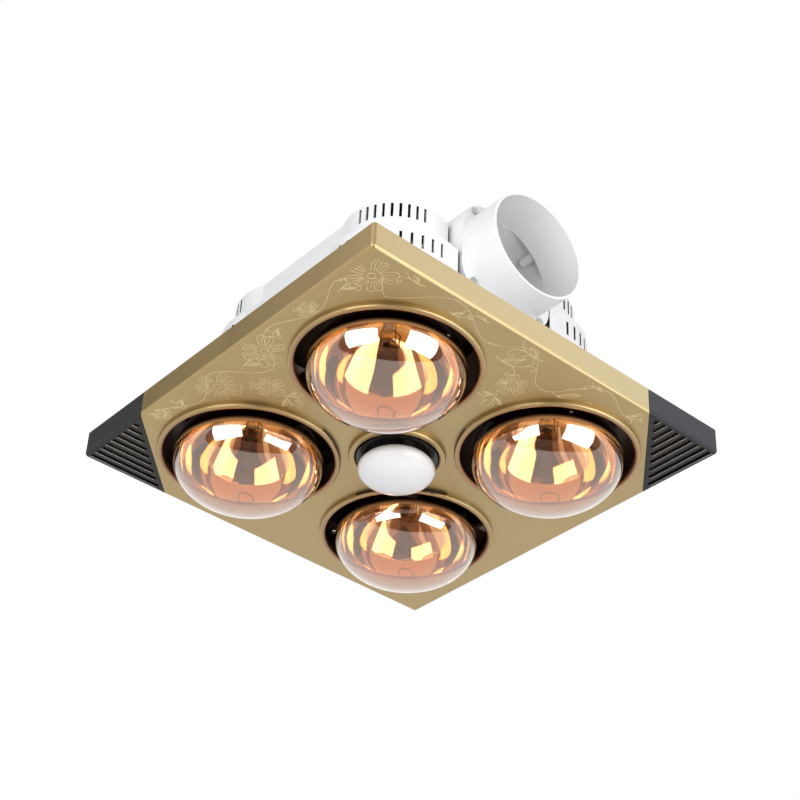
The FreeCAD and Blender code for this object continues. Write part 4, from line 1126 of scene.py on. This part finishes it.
class HEATLAMP_OT_stage(bpy.types.Operator):
    """Set up the floor, the light and the camera"""
    bl_idname = "heatlamp.stage"
    bl_label = "Studio"

    def heading(self, azimuth, elevation):
        """The way from the lamp to something that stands in a direction."""
        flat = math.cos(elevation)
        return Vector((math.sin(azimuth) * flat, -math.cos(azimuth) * flat, math.sin(elevation)))

    def facing(self, place):
        """A turn that points -Z from a place towards the lamp."""
        return (-place).to_track_quat("-Z", "Y").to_matrix().to_4x4()

    def stage_mesh(self, name, shape, matrix, material):
        """A stage object from a worked-up shape."""
        made = new_object(name, new_mesh(name, shape))
        made.data.materials.append(material)
        made.matrix_world = matrix
        return made

    def sheet(self, name, side, matrix, material):
        """A flat, square stage sheet."""
        cells = 8
        shape = bmesh.new()
        bmesh.ops.create_grid(shape, x_segments=cells, y_segments=cells, size=side / 2)
        return self.stage_mesh(name, shape, matrix, material)

    def camera(self):
        values = studio()
        back = self.heading(values.azimuth, values.elevation)
        right = Vector((0.0, 0.0, 1.0)).cross(back).normalized()
        up = back.cross(right)
        c, s = math.cos(values.roll), math.sin(values.roll)
        right, up = c * right + s * up, c * up - s * right
        data = bpy.data.cameras.new("camera")
        data.lens = values.focal
        made = new_object("camera", data)
        place = values.slide_right * right + values.slide_up * up + values.distance * back
        made.matrix_world = Matrix.Translation(place) @ Matrix((right, up, back)).transposed().to_4x4()
        bpy.context.scene.camera = made

    def put_light(self, name, light, place, power, target=Vector()):
        """Stands a light that looks at a target and isn't seen by the camera itself."""
        light.energy = power
        made = new_object(name, light)
        made.matrix_world = Matrix.Translation(place) @ self.facing(place - target)
        made.visible_camera = False
        return made

    def only_on(self, made, pieces):
        """Lets a light reach only some pieces."""
        lit = bpy.data.collections.new(made.name + "_lit")
        for piece in pieces:
            lit.objects.link(piece)
        made.light_linking.receiver_collection = lit

    def area_light(self, name, place, width, height, power, matt=0.0, tint=(1.0, 1.0, 1.0), lit=()):
        """A rectangular light, of which matt surfaces get only a share, on all pieces or those in lit."""
        for part, share in (("matt", matt), ("sheen", 1.0 - matt)):
            if not share:
                continue
            light = bpy.data.lights.new(name + "_" + part, "AREA")
            light.shape = "RECTANGLE"
            light.size, light.size_y = width, height
            light.color = tint
            step = 1.0 if part == "matt" else 1.0 + studio().light_step
            made = self.put_light(light.name, light, place * step, power * share)
            made.visible_diffuse = part == "matt"
            if lit:
                self.only_on(made, lit)
                made.visible_transmission = False

    def duct_light(self):
        """A narrow light into the duct."""
        values = studio()
        light = bpy.data.lights.new("duct_light", "SPOT")
        light.spot_size = values.duct_cone
        light.spot_blend = values.duct_blend
        light.shadow_soft_size = values.duct_size
        low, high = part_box("duct_collar")
        mouth = Vector((high.x, (low.y + high.y) / 2, (low.z + high.z) / 2))
        way = self.heading(values.duct_azimuth, values.duct_elevation)
        place = mouth + way * values.duct_distance
        made = self.put_light("duct_light", light, place, values.duct_power, mouth)
        made.visible_glossy = False

    def fill_light(self, name, azimuth, elevation, power):
        """A soft light that only matt surfaces get."""
        values = studio()
        light = bpy.data.lights.new(name, "AREA")
        light.size = values.fill_side
        made = self.put_light(name, light, self.heading(azimuth, elevation) * values.fill_distance, power)
        made.visible_glossy = False
        made.visible_transmission = False

    def lights(self):
        """Softboxes beside the camera, lights at the panel's edge, one into the duct and fills."""
        values = studio()
        bulbs = [bpy.data.objects["bulb_envelope_" + lamp] for lamp in LAMPS]
        face = [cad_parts[node] for node in ("face_panel", "grille_left", "grille_right")]
        for name, side in (("left", -1), ("right", 1)):
            way = self.heading(values.azimuth + values.box_turn + side * values.box_spread,
                               values.box_elevation - side * values.box_tilt)
            place = way * values.box_distance
            self.area_light("softbox_" + name, place, values.box_width, values.box_height, values.box_power,
                            values.box_matt)
            self.area_light("glint_" + name, place * (1 - values.light_step), values.box_width,
                            values.box_height, values.glint_power, lit=bulbs)
        for name, elevation, gain in (("upper", values.edge_elevation, 1.0),
                                      ("lower", -values.edge_drop, values.edge_gain)):
            place = self.heading(values.edge_azimuth, elevation) * values.edge_distance
            self.area_light("edge_light_" + name, place, values.edge_width, values.edge_height,
                            values.edge_power * gain, tint=colours().edge_light, lit=face)
        self.duct_light()
        self.fill_light("fill_below", values.azimuth, values.fill_elevation, values.fill_power)
        self.fill_light("fill_behind", values.azimuth + math.pi, values.back_elevation, values.back_power)

    def only_in_mirrors(self, made):
        """Lets a stage sheet show only in glass and metal."""
        made.visible_camera = False
        made.visible_diffuse = False
        made.visible_shadow = False

    def dim_room(self):
        """The dim room behind the camera as a curved sheet."""
        values = studio()
        shape = bmesh.new()
        rings = []
        for k in range(values.room_rings + 1):
            count = values.room_sides if k else 1
            out = k / values.room_rings
            ring = []
            for spot in [2 * math.pi * t / count for t in range(count)]:
                aside = values.dim_turn + values.dim_wide * out * math.cos(spot)
                way = self.heading(values.azimuth + aside,
                                   values.dim_elevation + values.dim_tall * out * math.sin(spot))
                ring.append(shape.verts.new(way * values.dim_distance))
            rings.append(ring)
        for low, high in zip(rings, rings[1:]):
            bridge_rings(shape, low, high)
        windows = []
        for k, face in enumerate(shape.faces):
            ring, side = divmod(k, values.room_sides)
            face.material_index = int(ring < values.room_core)
            height = math.sin(2 * math.pi * (side + 0.5) / values.room_sides)
            if ring == values.window_ring and abs(height) < values.window_reach:
                windows.append(face)
        bmesh.ops.delete(shape, geom=windows, context="FACES_ONLY")
        room = self.stage_mesh("dim_room", shape, Matrix(), once(room_wall))
        room.data.materials.append(once(card_black))
        self.only_in_mirrors(room)

    def flag(self):
        """A dark flag that the left rim of the panel reflects."""
        values = studio()
        place = self.heading(values.flag_azimuth, values.flag_elevation) * values.dim_distance
        matrix = Matrix.Translation(place) @ self.facing(place)
        self.only_in_mirrors(self.sheet("flag", values.flag_side, matrix, once(card_black)))

    def air(self):
        """Even light all round, with plain white where the camera, metal and glass look past the lamp."""
        world = bpy.data.worlds.new("studio_air")
        bpy.context.scene.world = world
        world.use_nodes = True
        tree = world.node_tree
        path = add(tree, "ShaderNodeLightPath").outputs
        seen = maths(tree, "MAXIMUM", path["Is Camera Ray"], path["Is Glossy Ray"])
        seen = maths(tree, "MAXIMUM", seen, path["Is Transmission Ray"])
        plain = {"Color": (1.0, 1.0, 1.0, 1.0)}
        white = add(tree, "ShaderNodeBackground", {**plain, "Strength": 1.0})
        even = add(tree, "ShaderNodeBackground", {**plain, "Strength": studio().ambient})
        mixed = add(tree, "ShaderNodeMixShader", {0: seen, 1: even.outputs[0], 2: white.outputs[0]})
        tree.links.new(mixed.outputs[0], tree.nodes["World Output"].inputs["Surface"])

    def execute(self, context):
        values = studio()
        ground = self.sheet("floor", values.floor_side, Matrix.Translation((0.0, 0.0, -values.floor_drop)),
                            once(pale_floor))
        ground.visible_glossy = False
        ground.visible_transmission = False
        self.camera()
        self.lights()
        self.dim_room()
        self.flag()
        self.air()
        context.scene.view_settings.view_transform = "Standard"
        return {"FINISHED"}


class HEATLAMP_PT_sidebar(bpy.types.Panel):
    """Lists the lamp's pieces and its settings"""
    bl_idname = "HEATLAMP_PT_sidebar"
    bl_label = "Heat Lamp"
    bl_space_type = "VIEW_3D"
    bl_region_type = "UI"
    bl_category = "Heat Lamp"

    def draw(self, context):
        for operator in OPERATORS:
            self.layout.operator(operator.bl_idname)
        for group in (colours(), sizes(), studio()):
            column = self.layout.column()
            for key in group.__annotations__:
                column.prop(group, key)


GROUPS = {"heatlamp_colours": LampColours, "heatlamp_sizes": LampSizes, "heatlamp_studio": StudioSettings}
OPERATORS = (HEATLAMP_OT_panel, HEATLAMP_OT_grilles, HEATLAMP_OT_bulbs, HEATLAMP_OT_centre_light,
             HEATLAMP_OT_housing, HEATLAMP_OT_fan, HEATLAMP_OT_stage)


def register():
    for kind in (*GROUPS.values(), *OPERATORS, HEATLAMP_PT_sidebar):
        bpy.utils.register_class(kind)
    for name, kind in GROUPS.items():
        setattr(bpy.types.Scene, name, PointerProperty(type=kind))


def unregister():
    for name in GROUPS:
        delattr(bpy.types.Scene, name)
    for kind in reversed((*GROUPS.values(), *OPERATORS, HEATLAMP_PT_sidebar)):
        bpy.utils.unregister_class(kind)


def main():
    register()
    bpy.ops.heatlamp.panel()
    bpy.ops.heatlamp.grilles()
    bpy.ops.heatlamp.bulbs()
    bpy.ops.heatlamp.centre_light()
    bpy.ops.heatlamp.housing()
    bpy.ops.heatlamp.fan()
    bpy.ops.heatlamp.stage()
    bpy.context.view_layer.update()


if __name__ == "__main__":
    main()
